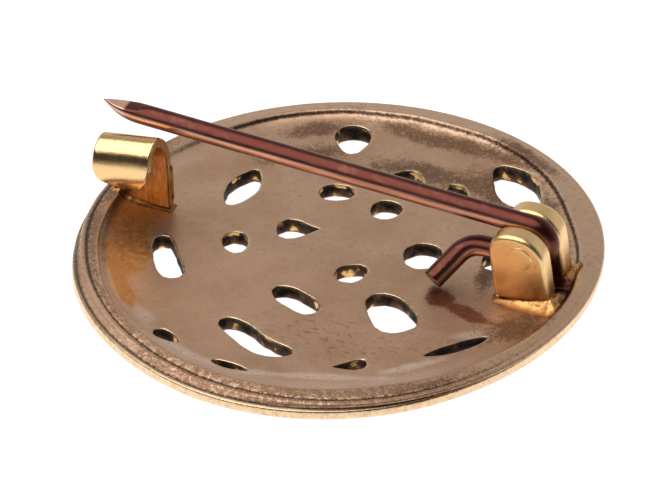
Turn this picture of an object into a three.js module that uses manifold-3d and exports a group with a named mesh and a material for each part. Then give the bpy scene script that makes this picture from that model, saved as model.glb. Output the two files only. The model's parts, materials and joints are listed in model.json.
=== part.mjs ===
// A round pierced bronze brooch lying on its face, so its back, hinge, pin and catch are on top.
// Millimetres. +Z is up, +X runs along the pin from the catch to the hinge, and the origin is the
// middle of the flat face that the brooch lies on.
import * as THREE from 'three';
import { mergeVertices } from 'three/addons/utils/BufferGeometryUtils.js';
import Module from 'manifold-3d';

const wasm = await Module();
wasm.setup();

// ---------------------------------------------------------------- driving dimensions

// disc: heights are measured from the face that it lies on
const DISC_RADIUS = 22.5;        // out to the edge's lower moulding
const RIM_EDGE = 22.2;           // out to its upper moulding
const RIM_RADIUS = 21.9;         // flat band on the back
const RIM_TOP = 2.5;
const DISH_RADIUS = 20.4;        // the sunk back
const STEP_FOOT = 2.15;          // where the rim's short inner step meets the slope
const FLOOR = 1.5;               // the back's level, which is also the plate's thickness
const EDGE_FOOT = 0.95;          // lowest line of the edge's mouldings
const LOWER_EDGE_TOP = 1.7;
const UPPER_EDGE_FOOT = 2.15;
const FACE_RADIUS = 17.6;        // flat field of the front
const ROUND_WITHIN = 18.8;       // the front is a true circle inside this
const DISH_ROUND_WITHIN = 14;    // and the back inside this
const DISC_SIDES = 72;
const WELD_DISTANCE = 1e-4;

// the same three radii as the pattern was cut by hand, every 30 degrees round from +X
const LOWER_OUTLINE = [22.15, 22.7, 22.74, 22.67, 22.56, 22.47, 22.42, 22.42, 22.34, 22.67, 22.5, 22.04];
const UPPER_OUTLINE = [22.42, 22.66, 22.73, 22.6, 22.52, 22.42, 22.24, 21.6, 21.54, 22.02, 22.34, 22.29];
const DISH_OUTLINE = [20.8, 20.15, 20.75, 20.55, 20.8, 20.35, 20.3, 20.1, 20.1, 20.45, 20.4, 20.65];

// openings: the front edge of each is splayed
const OUTLINE_POINTS = 18;
const SPLAY = 0.45;
const SPLAY_HEIGHT = 0.5;

// hinge: two lugs with the pin's loop between them, on a rivet
const LUG_THICK = 1.9;
const LUG_GAP = 2.1;
const LUG_WIDTH = 4.9;
const LUG_TOP = 8.15;
const LUG_ROUND = 2.2;           // height of the round top
const LUG_FULLNESS = 0.85;       // under 1 gives the round top fuller shoulders
const LUG_FOOT_X = 17.3;         // middle of the foot
const LUG_LEAN = 8;              // degrees, towards the middle of the disc
const LUG_EDGE = 0.3;            // rounding of the edges
const HINGE_X = 16.95;
const HINGE_Z = 6.08;
const RIVET_RADIUS = 0.55;
const RIVET_CLEARANCE = 0.03;
const RIVET_SIDES = 16;
const LUG_TOP_STEPS = 12;

// pin: one round wire, pointed at one end and cut flat at the other
const PIN_Y = 1.25;
const WIRE_RADIUS = 0.9;
const WIRE_SIDES = 12;
const LOOP_RADIUS = 1.55;        // of the wire's middle line round the rivet
const PIN_RISE = 4.2;            // degrees, from the hinge up to the point
const TIP_X = -21.85;
const TIP_LENGTH = 3.6;
const TIP_LIFT = 0.4;            // the point is ground from below
const TIP_POWER = 2.4;           // how bluntly the point is rounded
const TIP_FLAT = 0.06;           // of the wire's radius left at its very end
const TAIL_CORNER = [11.45, PIN_Y, HINGE_Z - LOOP_RADIUS];
const TAIL_END = [9.5, -2.0, 2.36];
const TAIL_BEND = 1.4;           // from the corner to where the bend starts

// catch: a strip standing on its end and bent over
const CATCH_X = -18.35;
const CATCH_WIDTH = 5.3;
const CATCH_THICK = 0.85;
const CATCH_BACK = 1.07;         // y of the leg's back
const CATCH_TOP = 9.15;          // top of the bend's middle line
const CATCH_TIP_CORNER = 1.9;    // rounding of the lip's corners
const CATCH_SLOPE = 0.11;        // the bend runs downhill away from the hinge
const CATCH_STEPS = 30;
const CATCH_COLUMNS = 8;

// solder pads, one with the disc, that carry the lugs and the catch
const PAD_TOP = 1.75;
const PAD_MARGIN = 0.9;
const PAD_SINK = 0.6;            // how far the pads reach down into the plate
const SEAT_CLEARANCE = 0.05;

// place, length, width, turn in degrees, and how the outline narrows or bows along its length
const openings = [
  { at: [-5.15, 16.05], long: 4.3, wide: 3.3, turn: -71, taper: 0.2 },
  { at: [-11.25, 5.75], long: 5.9, wide: 3.0, turn: -87, taper: -0.15 },
  { at: [-3.45, 8.05], long: 3.3, wide: 2.6, turn: 25 },
  { at: [1.55, 7.15], long: 3.0, wide: 2.9, turn: -70 },
  { at: [1.55, 11.95], long: 3.1, wide: 2.7, turn: -46 },
  { at: [6.15, 11.45], long: 3.2, wide: 2.4, turn: -58 },
  { at: [11.05, 14.35], long: 7.2, wide: 4.0, turn: -62, square: 3 },
  { at: [-4.45, 1.45], long: 3.7, wide: 2.6, turn: 1, taper: 0.35 },
  { at: [-8.55, -2.05], long: 3.1, wide: 2.2, turn: -61 },
  { at: [-13.05, -6.15], long: 6.6, wide: 2.3, turn: -55, taper: -0.15, square: 3 },
  { at: [6.95, 1.75], long: 3.7, wide: 3.3, turn: -79, taper: 0.1 },
  { at: [12.95, 3.25], long: 2.6, wide: 2.1, turn: -66 },
  { at: [2.45, -2.65], long: 3.0, wide: 2.7, turn: 45, taper: 0.15 },
  { at: [-0.45, -7.85], long: 5.2, wide: 2.6, turn: -22, square: 3 },
  { at: [7.65, -6.75], long: 6.0, wide: 3.7, turn: -41, taper: -0.15, square: 2.8 },
  { at: [-1.55, -14.15], long: 7.8, wide: 2.4, turn: -18, taper: -0.1, bow: 0.7, square: 2.8 },
  { at: [-8.05, -16.55], long: 2.5, wide: 1.3, turn: -15, taper: 0.4 },
  { at: [-1.65, -18.25], long: 3.5, wide: 1.0, turn: -4, square: 2 },
  { at: [7.35, -14.65], long: 3.0, wide: 1.3, turn: 37, taper: -0.4 },
  { at: [14.55, -9.35], long: 5.8, wide: 1.6, turn: 46, taper: 0.25 },
];

// ---------------------------------------------------------------- helpers

const radians = THREE.MathUtils.degToRad;

// one closed mesh: vertices at the same place made one, and the flat triangles at a pole dropped
function welded(geometry) {
  geometry.deleteAttribute('normal');
  geometry.deleteAttribute('uv');
  geometry.clearGroups();
  const mesh = mergeVertices(geometry, WELD_DISTANCE);
  const index = mesh.index.array;
  const kept = [];
  for (let i = 0; i < index.length; i += 3) {
    const [a, b, c] = [index[i], index[i + 1], index[i + 2]];
    if (a !== b && b !== c && c !== a) kept.push(a, b, c);
  }
  mesh.setIndex(kept);
  return mesh;
}

function solid(geometry) {
  const mesh = welded(geometry);
  return new wasm.Manifold(new wasm.Mesh({
    numProp: 3,
    vertProperties: new Float32Array(mesh.attributes.position.array),
    triVerts: new Uint32Array(mesh.index.array),
  }));
}

function fromSolid(body) {
  const mesh = body.getMesh();
  const geometry = new THREE.BufferGeometry();
  geometry.setAttribute('position', new THREE.BufferAttribute(mesh.vertProperties, 3));
  geometry.setIndex(new THREE.BufferAttribute(mesh.triVerts, 1));
  return geometry;
}

// a solid of revolution about Z from [radius, height] points
function turned(profile, sides = DISC_SIDES) {
  const points = profile.map(([radius, height]) => new THREE.Vector2(radius, height));
  const geometry = new THREE.LatheGeometry(points, sides);
  return geometry.rotateX(Math.PI / 2);
}

function block([x0, y0, z0], [x1, y1, z1]) {
  return new THREE.BoxGeometry(x1 - x0, y1 - y0, z1 - z0)
    .translate((x0 + x1) / 2, (y0 + y1) / 2, (z0 + z1) / 2);
}

function moveVertices(geometry, move) {
  const positions = geometry.attributes.position;
  const point = new THREE.Vector3();
  for (let i = 0; i < positions.count; i++) {
    point.fromBufferAttribute(positions, i);
    move(point);
    positions.setXYZ(i, point.x, point.y, point.z);
  }
  return geometry;
}

// ---------------------------------------------------------------- disc

const discProfile = [
  [0, 0],
  [FACE_RADIUS, 0],
  [ROUND_WITHIN, 0.3],
  [20.2, 0.55],
  [20.6, 0.85],                                // groove round the front's border
  [21.0, 0.75],
  [22.1, EDGE_FOOT],
  [DISC_RADIUS, EDGE_FOOT + 0.4],
  [DISC_RADIUS - 0.1, LOWER_EDGE_TOP],
  [22.05, RIM_TOP - 0.65],                     // crease between the edge's two mouldings
  [RIM_EDGE, UPPER_EDGE_FOOT],
  [RIM_RADIUS, RIM_TOP],
  [0, RIM_TOP],
];

const dishProfile = [
  [0, FLOOR],
  [DISH_ROUND_WITHIN, FLOOR],
  [17.4, FLOOR + 0.1],
  [19.7, FLOOR + 0.42],
  [DISH_RADIUS - 0.25, STEP_FOOT],
  [DISH_RADIUS, RIM_TOP],
  [DISH_RADIUS, RIM_TOP + 1],
  [0, RIM_TOP + 1],
];

// a smooth curve through values given at even steps round the circle
function around(values, angle) {
  const count = values.length;
  const place = ((angle / (2 * Math.PI) + 1) % 1) * count;
  const from = Math.floor(place);
  const t = place - from;
  const [a, b, c, d] = [-1, 0, 1, 2].map((step) => values[(from + step + count) % count]);
  return b + t * (c - a + t * (2 * a - 5 * b + 4 * c - d + t * (3 * (b - c) + d - a))) / 2;
}

// moves a turned shape's rim out or in, fading to nothing at the inner radius
function outOfRound(geometry, inner, outer, change) {
  return moveVertices(geometry, (point) => {
    const radius = Math.hypot(point.x, point.y);
    const share = THREE.MathUtils.clamp((radius - inner) / (outer - inner), 0, 1);
    if (share === 0) return;
    const scale = 1 + share * change(Math.atan2(point.y, point.x), point.z) / radius;
    point.x *= scale;
    point.y *= scale;
  });
}

function edgeChange(angle, height) {
  const lower = around(LOWER_OUTLINE, angle) - DISC_RADIUS;
  const upper = around(UPPER_OUTLINE, angle) - RIM_EDGE;
  const up = THREE.MathUtils.clamp(
    (height - LOWER_EDGE_TOP) / (UPPER_EDGE_FOOT - LOWER_EDGE_TOP), 0, 1);
  return THREE.MathUtils.lerp(lower, upper, up);
}

const dishChange = (angle) => around(DISH_OUTLINE, angle) - DISH_RADIUS;

const signedPower = (value, power) => Math.sign(value) * Math.abs(value) ** power;

// a rounded outline on its own axes: an oval that can be squarer, narrower at one end, or bowed
function openingShape({ long, wide, taper = 0, bow = 0, square = 2.3 }) {
  const points = [];
  for (let i = 0; i < OUTLINE_POINTS; i++) {
    const angle = (2 * Math.PI * i) / OUTLINE_POINTS;
    const along = signedPower(Math.cos(angle), 2 / square);
    const across = signedPower(Math.sin(angle), 2 / square);
    const bend = bow * (along * along - 0.5);
    points.push(new THREE.Vector2(along * long / 2, across * (1 - taper * along) * wide / 2 + bend));
  }
  return new THREE.Shape(points);
}

// straight through the plate, and wider towards the front
function openingCutter(opening) {
  const reach = RIM_TOP + 1 - SPLAY_HEIGHT;
  const shape = openingShape(opening);
  const straight = new THREE.ExtrudeGeometry(shape, { depth: reach, bevelEnabled: false })
    .translate(0, 0, SPLAY_HEIGHT);
  const splay = new THREE.ExtrudeGeometry(shape, { depth: 2 * SPLAY_HEIGHT, bevelEnabled: false })
    .translate(0, 0, -SPLAY_HEIGHT);
  moveVertices(splay, (point) => {
    const wider = 2 * SPLAY * (SPLAY_HEIGHT - point.z) / SPLAY_HEIGHT;
    point.x *= 1 + wider / opening.long;
    point.y *= 1 + wider / opening.wide;
  });
  const cutter = solid(straight).add(solid(splay));
  return cutter.rotate([0, 0, opening.turn]).translate([...opening.at, 0]);
}

// the leaning outline of a lug, in X and Z, from its foot on the pad to its round top
function lugShape() {
  const half = LUG_WIDTH / 2;
  const spring = LUG_TOP - LUG_ROUND;          // where the sides run into the round top
  const lean = Math.tan(radians(LUG_LEAN));
  const shape = new THREE.Shape();
  const leaning = (x, z) => [LUG_FOOT_X + x - lean * (z - PAD_TOP), z];
  shape.moveTo(...leaning(-half, PAD_TOP));
  shape.lineTo(...leaning(half, PAD_TOP));
  shape.lineTo(...leaning(half, spring));
  for (let i = 1; i < LUG_TOP_STEPS; i++) {
    const angle = Math.PI * i / LUG_TOP_STEPS;
    const x = half * signedPower(Math.cos(angle), LUG_FULLNESS);
    shape.lineTo(...leaning(x, spring + (LUG_TOP - spring) * Math.sin(angle)));
  }
  shape.lineTo(...leaning(-half, spring));
  return shape;
}

// a low mound of solder round a fitting's foot, sunk into the plate
function pad([x0, x1], [y0, y1]) {
  const mound = block([x0 - PAD_MARGIN, y0 - PAD_MARGIN, FLOOR - PAD_SINK],
    [x1 + PAD_MARGIN, y1 + PAD_MARGIN, PAD_TOP]);
  const [middleX, middleY] = [(x0 + x1) / 2, (y0 + y1) / 2];
  return solid(moveVertices(mound, (point) => {
    if (point.z < FLOOR) return;
    point.x += Math.sign(middleX - point.x) * PAD_MARGIN / 2;
    point.y += Math.sign(middleY - point.y) * PAD_MARGIN / 2;
  }));
}

// room in the rim's step for a foot that stands on a pad
function seat([x0, x1], [y0, y1]) {
  return solid(block([x0 - SEAT_CLEARANCE, y0 - SEAT_CLEARANCE, PAD_TOP],
    [x1 + SEAT_CLEARANCE, y1 + SEAT_CLEARANCE, RIM_TOP + 1]));
}

const lugFoot = [LUG_FOOT_X - LUG_WIDTH / 2, LUG_FOOT_X + LUG_WIDTH / 2];
const frontLugY = [PIN_Y - LUG_GAP / 2 - LUG_THICK, PIN_Y - LUG_GAP / 2];
const rearLugY = [PIN_Y + LUG_GAP / 2, PIN_Y + LUG_GAP / 2 + LUG_THICK];
const catchFoot = [CATCH_X - CATCH_WIDTH / 2, CATCH_X + CATCH_WIDTH / 2];
const catchLegY = [CATCH_BACK - CATCH_THICK, CATCH_BACK];

function discGeometry() {
  const plate = outOfRound(turned(discProfile), ROUND_WITHIN, RIM_RADIUS, edgeChange);
  const dish = outOfRound(turned(dishProfile), DISH_ROUND_WITHIN, DISH_RADIUS, dishChange);
  let body = solid(plate).subtract(solid(dish));
  body = body.add(pad(lugFoot, [frontLugY[0], rearLugY[1]]));
  body = body.add(pad(catchFoot, catchLegY));
  for (const opening of openings) body = body.subtract(openingCutter(opening));
  for (const y of [frontLugY, rearLugY]) body = body.subtract(seat(lugFoot, y));
  body = body.subtract(seat(catchFoot, catchLegY));
  return fromSolid(body);
}

// ---------------------------------------------------------------- hinge

// a round bar on the hinge's axis, through both lugs
function hingeBar(radius, length) {
  return new THREE.CylinderGeometry(radius, radius, length, RIVET_SIDES)
    .translate(HINGE_X, PIN_Y, HINGE_Z);
}

function lugGeometry([y0, y1]) {
  const plate = new THREE.ExtrudeGeometry(lugShape(), {
    depth: y1 - y0 - 2 * LUG_EDGE,
    bevelThickness: LUG_EDGE,
    bevelSize: LUG_EDGE,
    bevelOffset: -LUG_EDGE,
    bevelSegments: 2,
  });
  plate.rotateX(Math.PI / 2).translate(0, y1 - LUG_EDGE, 0);
  const hole = hingeBar(RIVET_RADIUS + RIVET_CLEARANCE, 4 * LUG_THICK + 2 * LUG_GAP);
  return fromSolid(solid(plate).subtract(solid(hole)));
}

// ---------------------------------------------------------------- pin

// a path made of curves one after the other, each with its own number of steps
class SteppedPath extends THREE.Curve {
  constructor(pieces) {
    super();
    this.pieces = pieces;
    this.steps = pieces.reduce((sum, [, steps]) => sum + steps, 0);
  }

  getPoint(t, target = new THREE.Vector3()) {
    let left = t * this.steps;
    for (const [curve, steps] of this.pieces) {
      if (left <= steps || curve === this.pieces.at(-1)[0]) {
        return target.copy(curve.getPoint(Math.min(left / steps, 1)));
      }
      left -= steps;
    }
    return target;
  }

  getUtoTmapping(u) {
    return u;
  }
}

// part of a circle round the hinge's axis, by angles in degrees in the plane of the pin
class HingeArc extends THREE.Curve {
  constructor(radius, from, to) {
    super();
    Object.assign(this, { radius, from, to });
  }

  getPoint(t, target = new THREE.Vector3()) {
    const angle = radians(THREE.MathUtils.lerp(this.from, this.to, t));
    return target.set(HINGE_X + this.radius * Math.cos(angle), PIN_Y,
      HINGE_Z + this.radius * Math.sin(angle));
  }
}

// height of the straight shaft's middle line
function shaftHeight(x) {
  const rise = radians(PIN_RISE);
  return HINGE_Z + LOOP_RADIUS / Math.cos(rise) + (HINGE_X - x) * Math.tan(rise);
}

function pinPath() {
  const point = (x, y, z) => new THREE.Vector3(x, y, z);
  const line = (a, b) => new THREE.LineCurve3(a, b);
  const loop = new HingeArc(LOOP_RADIUS, 90 - PIN_RISE, -90);
  const tip = point(TIP_X, PIN_Y, shaftHeight(TIP_X));
  const shoulder = point(TIP_X + TIP_LENGTH, PIN_Y, shaftHeight(TIP_X + TIP_LENGTH));
  const corner = point(...TAIL_CORNER);
  const end = point(...TAIL_END);
  const loopEnd = loop.getPoint(1);
  const bendStart = corner.clone().lerp(loopEnd, TAIL_BEND / corner.distanceTo(loopEnd));
  const bendEnd = corner.clone().lerp(end, TAIL_BEND / corner.distanceTo(end));
  return new SteppedPath([
    [line(tip, shoulder), 6],
    [line(shoulder, loop.getPoint(0)), 4],
    [loop, 14],
    [line(loopEnd, bendStart), 2],
    [new THREE.QuadraticBezierCurve3(bendStart, corner, bendEnd), 7],
    [line(bendEnd, end), 2],
  ]);
}

function wireSection() {
  const shape = new THREE.Shape();
  for (let i = 0; i < WIRE_SIDES; i++) {
    const angle = (2 * Math.PI * (i + 0.5)) / WIRE_SIDES;
    const [x, y] = [WIRE_RADIUS * Math.cos(angle), WIRE_RADIUS * Math.sin(angle)];
    if (i === 0) shape.moveTo(x, y);
    else shape.lineTo(x, y);
  }
  return shape;
}

function pinGeometry() {
  const path = pinPath();
  const wire = new THREE.ExtrudeGeometry(wireSection(), { steps: path.steps, extrudePath: path });
  return welded(moveVertices(wire, (point) => {
    const fromTip = (point.x - TIP_X) / TIP_LENGTH;
    if (fromTip >= 1) return;
    const fullness = Math.max(1 - (1 - fromTip) ** TIP_POWER, TIP_FLAT);
    const middle = shaftHeight(point.x);
    point.y = PIN_Y + (point.y - PIN_Y) * fullness;
    point.z = middle + (point.z - middle) * fullness + TIP_LIFT * (1 - fullness);
  }));
}

// ---------------------------------------------------------------- catch

// the strip's middle line in Y and Z: up the leg, over, and down to the lip
function catchPath() {
  const leg = CATCH_BACK - CATCH_THICK / 2;
  const [foot, top] = [PAD_TOP, CATCH_TOP];
  return new THREE.CatmullRomCurve3([
    [leg, foot], [leg, foot + 1.85], [leg, foot + 3.65], [leg - 0.2, top - 2.05],
    [leg - 1.0, top - 0.65], [leg - 2.1, top], [leg - 3.2, top - 0.45],
    [leg - 3.65, top - 1.55], [leg - 3.45, top - 2.75], [leg - 2.9, top - 3.65],
  ].map(([y, z]) => new THREE.Vector3(0, y, z)), false, 'centripetal');
}

// how far a round corner of the lip is cut back at this distance from the strip's end
function cornerInset(fromEnd) {
  if (fromEnd >= CATCH_TIP_CORNER) return 0;
  const fromCentre = CATCH_TIP_CORNER - fromEnd;
  return CATCH_TIP_CORNER - Math.sqrt(CATCH_TIP_CORNER ** 2 - fromCentre ** 2);
}

function catchGeometry() {
  const path = catchPath();
  const length = path.getLength();
  const strip = new THREE.BoxGeometry(CATCH_WIDTH, length, CATCH_THICK, CATCH_COLUMNS, CATCH_STEPS, 1);
  return welded(moveVertices(strip, (point) => {
    const along = point.y / length + 0.5;        // 0 at the foot, 1 at the lip
    const across = point.x * (1 - cornerInset((1 - along) * length) / (CATCH_WIDTH / 2));
    const middle = path.getPointAt(along);
    const tangent = path.getTangentAt(along);
    const y = middle.y - tangent.z * point.z;
    const z = middle.z + tangent.y * point.z;
    const slope = CATCH_SLOPE * Math.max(0, z - PAD_TOP) / (CATCH_TOP - PAD_TOP);
    point.set(CATCH_X + across, y, z + slope * across);
  }));
}

// ---------------------------------------------------------------- the brooch

const castBronze = new THREE.MeshStandardMaterial({ color: '#a5876e', roughness: 0.4, metalness: 1 });
const lugBrass = new THREE.MeshStandardMaterial({ color: '#c89655', roughness: 0.3, metalness: 1 });
const catchBrass = new THREE.MeshStandardMaterial({ color: '#e0ac5c', roughness: 0.2, metalness: 1 });
const copper = new THREE.MeshStandardMaterial({ color: '#8a4a3e', roughness: 0.3, metalness: 1 });

const brooch = new THREE.Group();

function add(name, geometry, material) {
  const mesh = new THREE.Mesh(geometry, material);
  mesh.name = name;
  brooch.add(mesh);
}

add('disc', discGeometry(), castBronze);
add('front_lug', lugGeometry(frontLugY), lugBrass);
add('rear_lug', lugGeometry(rearLugY), lugBrass);
add('hinge_rivet', hingeBar(RIVET_RADIUS, rearLugY[1] - frontLugY[0]), lugBrass);
add('pin', pinGeometry(), copper);
add('catch_hook', catchGeometry(), catchBrass);

export default brooch;
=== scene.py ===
"""A pierced bronze brooch lying on its face, with its hinge, open pin and catch on top.

The frame gives every fitting's place. Shapes are worked out in millimetres, and become metres
when a piece's mesh is made. +Z is the brooch's back, and +X runs from the catch to the hinge.
"""
import json
import math
from bisect import bisect_right
from functools import partial

import bmesh
import bpy
from mathutils import Matrix, Vector, geometry, kdtree, noise


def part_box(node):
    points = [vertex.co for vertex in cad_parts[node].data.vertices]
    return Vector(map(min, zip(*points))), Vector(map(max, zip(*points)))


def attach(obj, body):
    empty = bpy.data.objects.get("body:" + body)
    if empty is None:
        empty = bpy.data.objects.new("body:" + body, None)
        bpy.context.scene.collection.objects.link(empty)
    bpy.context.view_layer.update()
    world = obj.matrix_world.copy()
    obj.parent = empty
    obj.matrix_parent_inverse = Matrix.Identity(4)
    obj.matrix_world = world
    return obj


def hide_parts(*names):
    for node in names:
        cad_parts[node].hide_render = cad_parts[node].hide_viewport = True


bl_info = {
    "name": "Pierced brooch",
    "version": (1, 0, 0),
    "blender": (4, 5, 0),
    "location": "View3D > Sidebar > Brooch",
    "description": "Models and finishes the pieces of a pierced bronze brooch around its frame",
    "category": "Object",
}

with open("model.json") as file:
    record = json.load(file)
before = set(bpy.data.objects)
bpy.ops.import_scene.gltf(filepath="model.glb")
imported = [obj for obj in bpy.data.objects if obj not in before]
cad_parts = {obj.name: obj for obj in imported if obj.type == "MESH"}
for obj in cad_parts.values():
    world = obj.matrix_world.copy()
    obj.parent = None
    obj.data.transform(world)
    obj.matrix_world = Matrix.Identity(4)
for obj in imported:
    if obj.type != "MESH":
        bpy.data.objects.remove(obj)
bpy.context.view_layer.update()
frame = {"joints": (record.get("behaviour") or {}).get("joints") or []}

MM = 0.001
CENTIMETRE = 0.01
FULL_TURN = 2 * math.pi


def node_box(name):
    """Lowest and highest corner of a node of the frame, in millimetres."""
    low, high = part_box(name)
    return low / MM, high / MM


FRONT_LUG = node_box("front_lug")
REAR_LUG = node_box("rear_lug")
RIVET_LOW, RIVET_HIGH = node_box("hinge_rivet")
PIN_LOW = node_box("pin")[0]
CATCH_LOW, CATCH_HIGH = node_box("catch_hook")
HINGE = Vector(frame["joints"][0]["pos_m"]) / MM
FOOT_HEIGHT = CATCH_LOW.z


def linear(code):
    """Linear colour, with full alpha, of an sRGB hex code."""
    parts = [int(code[i:i + 2], 16) / 255 for i in (1, 3, 5)]
    return [p / 12.92 if p <= 0.04045 else ((p + 0.055) / 1.055) ** 2.4 for p in parts] + [1.0]


# ---------------- sizes and colours


def length(name, millimetres, description):
    """A length that the sidebar shows, given in millimetres."""
    return bpy.props.FloatProperty(
        name=name, description=description, default=millimetres * MM, min=0.0,
        precision=5, unit="LENGTH")


def slant(name, degrees, description):
    """An angle that the sidebar shows, given in degrees."""
    return bpy.props.FloatProperty(
        name=name, description=description, default=math.radians(degrees), subtype="ANGLE")


def paint(name, code, description):
    """A colour that the sidebar shows, given as an sRGB hex code."""
    return bpy.props.FloatVectorProperty(
        name=name, description=description, default=linear(code), size=4, min=0.0, max=1.0,
        subtype="COLOR")


class BroochSizes(bpy.types.PropertyGroup):
    """Sizes that the frame leaves open, or that its boxes don't give."""

    floor: length("Plate", 1.5, "Thickness of the plate in the middle of the dished back")
    rim_top: length("Rim", 2.5, "Height of the rim's flat band above the flat front")
    uneven: length("Unevenness", 0.04, "How far the cast back swells and sinks")
    edge_round: length("Opening edge", 0.07, "Worn rounding of the openings' back edges")
    splay: length("Splay", 0.45, "How much wider the openings are at the front")
    wire_radius: length("Wire", 0.9, "Radius of the pin's wire")
    loop_radius: length("Loop", 1.55, "Radius of the pin's loop, to the middle of the wire")
    pin_rise: slant("Pin rise", 4.2, "Slope of the open pin, up from the hinge to its point")
    lug_lean: slant("Lug lean", 8, "How far the lugs lean towards the middle of the disc")
    lug_round: length("Lug edge", 0.42, "Rounding of the lugs' filed edges")
    strip: length("Catch strip", 0.85, "Thickness of the strip that the catch is bent from")
    strip_edge: length("Strip edge", 0.14, "Rounding of the strip's cut edges")


class BroochColours(bpy.types.PropertyGroup):
    """Colours of the metals and of what has formed on them."""

    bronze: paint("Bronze", "#d6b093", "Brushed bronze of the back")
    bronze_deep: paint("Deep bronze", "#c29a7c", "Duller clouds in the bronze")
    tarnish: paint("Tarnish", "#735541", "Olive brown tarnish left by casting")
    patina: paint("Patina", "#1f1a17", "Black patina inside the openings")
    # smoother, lighter bronze laid only on the rim's far side, partly a painted highlight
    band: paint("Rim", "#d8b496", "Smoother bronze of the rim's band")
    # painted highlight: pale streaks and a pale line where the dish rises to the rim
    painted_highlight: paint("Sheen", "#f4dccb", "Polish left where the dish rises to the rim")
    # also the colour of the painted highlight on the openings' edges and the painted reflection on
    # the lower moulding
    worn_gold: paint("Worn edge", "#fadcb0", "Bright metal on rubbed edges")
    flux: paint("Flux stain", "#c98a4e", "Orange-brown stain where the catch was soldered")
    # painted reflection of the pin's tail on the back, under its end
    painted_tail_reflection: paint("Copper flash", "#8a4c33", "Red-brown flash under the pin's end")
    solder: paint("Solder", "#f0c078", "Brass solder")
    lug: paint("Lug brass", "#f2cb90", "Filed brass of the lugs")
    catch: paint("Catch brass", "#ebc48c", "Polished brass of the catch")
    residue: paint("Residue", "#8f5d33", "Burnt flux inside the catch and round the solder")
    copper: paint("Copper", "#5f332b", "Oxidised copper of the pin")
    # also the colour of the pin's painted highlight line
    copper_bright: paint("Bright copper", "#f0bda6", "Copper where the oxide is rubbed off")
    floor: paint("Floor", "#7c7c7c", "Milky acrylic of the table")
    floor_light: paint("Floor light", "#fdfdfd", "Light that comes up through the table")


# ---------------- curves


def signed_power(value, power):
    """A power that keeps the value's sign."""
    return math.copysign(abs(value) ** power, value)


def smooth_curve(knots):
    """A function that runs smoothly through (x, y) knots and never overshoots them."""
    xs, ys = zip(*knots)
    rises = [(ys[i + 1] - ys[i]) / (xs[i + 1] - xs[i]) for i in range(len(xs) - 1)]
    slopes = [rises[0]]
    for before, after in zip(rises, rises[1:]):
        same_way = before * after > 0
        slopes.append(2 * before * after / (before + after) if same_way else 0.0)
    slopes.append(rises[-1])

    def value(x):
        if x <= xs[0]:
            return ys[0]
        if x >= xs[-1]:
            return ys[-1]
        i = bisect_right(xs, x) - 1
        width = xs[i + 1] - xs[i]
        t = (x - xs[i]) / width
        start = ys[i] * (1 + 2 * t) + width * slopes[i] * t
        end = ys[i + 1] * (3 - 2 * t) - width * slopes[i + 1] * (1 - t)
        return start * (1 - t) ** 2 + end * t ** 2

    return value


def through(knots, steps=16):
    """Points along a centripetal spline through the knots, with this many steps a span."""
    knots = [Vector(knot) for knot in knots]
    ends = [2 * knots[0] - knots[1], *knots, 2 * knots[-1] - knots[-2]]
    points = [knots[0]]
    for a, b, c, d in zip(ends, ends[1:], ends[2:], ends[3:]):
        ab, bc, cd = ((q - p).length ** 0.5 for p, q in ((a, b), (b, c), (c, d)))
        leave = ((b - a) / ab - (c - a) / (ab + bc) + (c - b) / bc) * bc
        reach = ((c - b) / bc - (d - b) / (bc + cd) + (d - c) / cd) * bc
        for step in range(1, steps + 1):
            t = step / steps
            points.append(b * (1 + 2 * t) * (1 - t) ** 2 + leave * t * (1 - t) ** 2
                          + c * (3 - 2 * t) * t ** 2 - reach * (1 - t) * t ** 2)
    return points


def evenly(points, count, closed=False):
    """Count points at even distances along a line of points, with both ends if it is open."""
    line = points + points[:1] if closed else points
    run = [0.0]
    for a, b in zip(line, line[1:]):
        run.append(run[-1] + (b - a).length)
    made = []
    for i in range(count):
        target = run[-1] * i / (count if closed else count - 1)
        j = min(bisect_right(run, target), len(line) - 1) - 1
        share = (target - run[j]) / (run[j + 1] - run[j])
        made.append(line[j].lerp(line[j + 1], share))
    return made


def round_curve(values):
    """A function of the angle that runs smoothly through values at even steps round a circle."""
    count = len(values)

    def value(angle):
        place = (angle / FULL_TURN + 1) % 1 * count
        start = int(place)
        t = place - start
        a, b, c, d = (values[(start + step) % count] for step in (-1, 0, 1, 2))
        return b + t * (c - a + t * (2 * a - 5 * b + 4 * c - d + t * (3 * (b - c) + d - a))) / 2

    return value


def path_length(points):
    return sum((b - a).length for a, b in zip(points, points[1:]))


def bumpy(point, grain, seed=0.0):
    """Smooth noise, about -1 to 1, with features of this size at a point, in millimetres."""
    return noise.noise(Vector((point[0], point[1], point[2] if len(point) > 2 else 0.0)) / grain
                       + Vector((seed, -seed, 2 * seed)))


def clamp(value, low=0.0, high=1.0):
    return max(low, min(high, value))


def ease(value):
    """0 to 1 with soft ends."""
    value = clamp(value)
    return value * value * (3 - 2 * value)


def bell(value, width):
    """1 at 0, falling to both sides and nearly gone at twice this width."""
    return math.exp(-(value / width) ** 2)


def point_tree(points):
    """A search tree of points in plan."""
    tree = kdtree.KDTree(len(points))
    for index, point in enumerate(points):
        tree.insert(point.to_3d(), index)
    tree.balance()
    return tree


# ---------------- pieces

NEARLY = 1e-4                    # millimetres that two equal places may differ by


def make_piece(bm, name, body, slot, material, *replaced):
    """Turns a bmesh in millimetres into a smooth, closed piece that rides on a body."""
    bmesh.ops.scale(bm, vec=(MM, MM, MM), verts=bm.verts)
    bmesh.ops.recalc_face_normals(bm, faces=bm.faces)
    mesh = bpy.data.meshes.new(name)
    bm.to_mesh(mesh)
    bm.free()
    mesh.shade_smooth()
    mesh.materials.append(material)
    piece = bpy.data.objects.new(name, mesh)
    bpy.context.scene.collection.objects.link(piece)
    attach(piece, body)
    if replaced:
        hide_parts(*replaced)
    return piece


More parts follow.
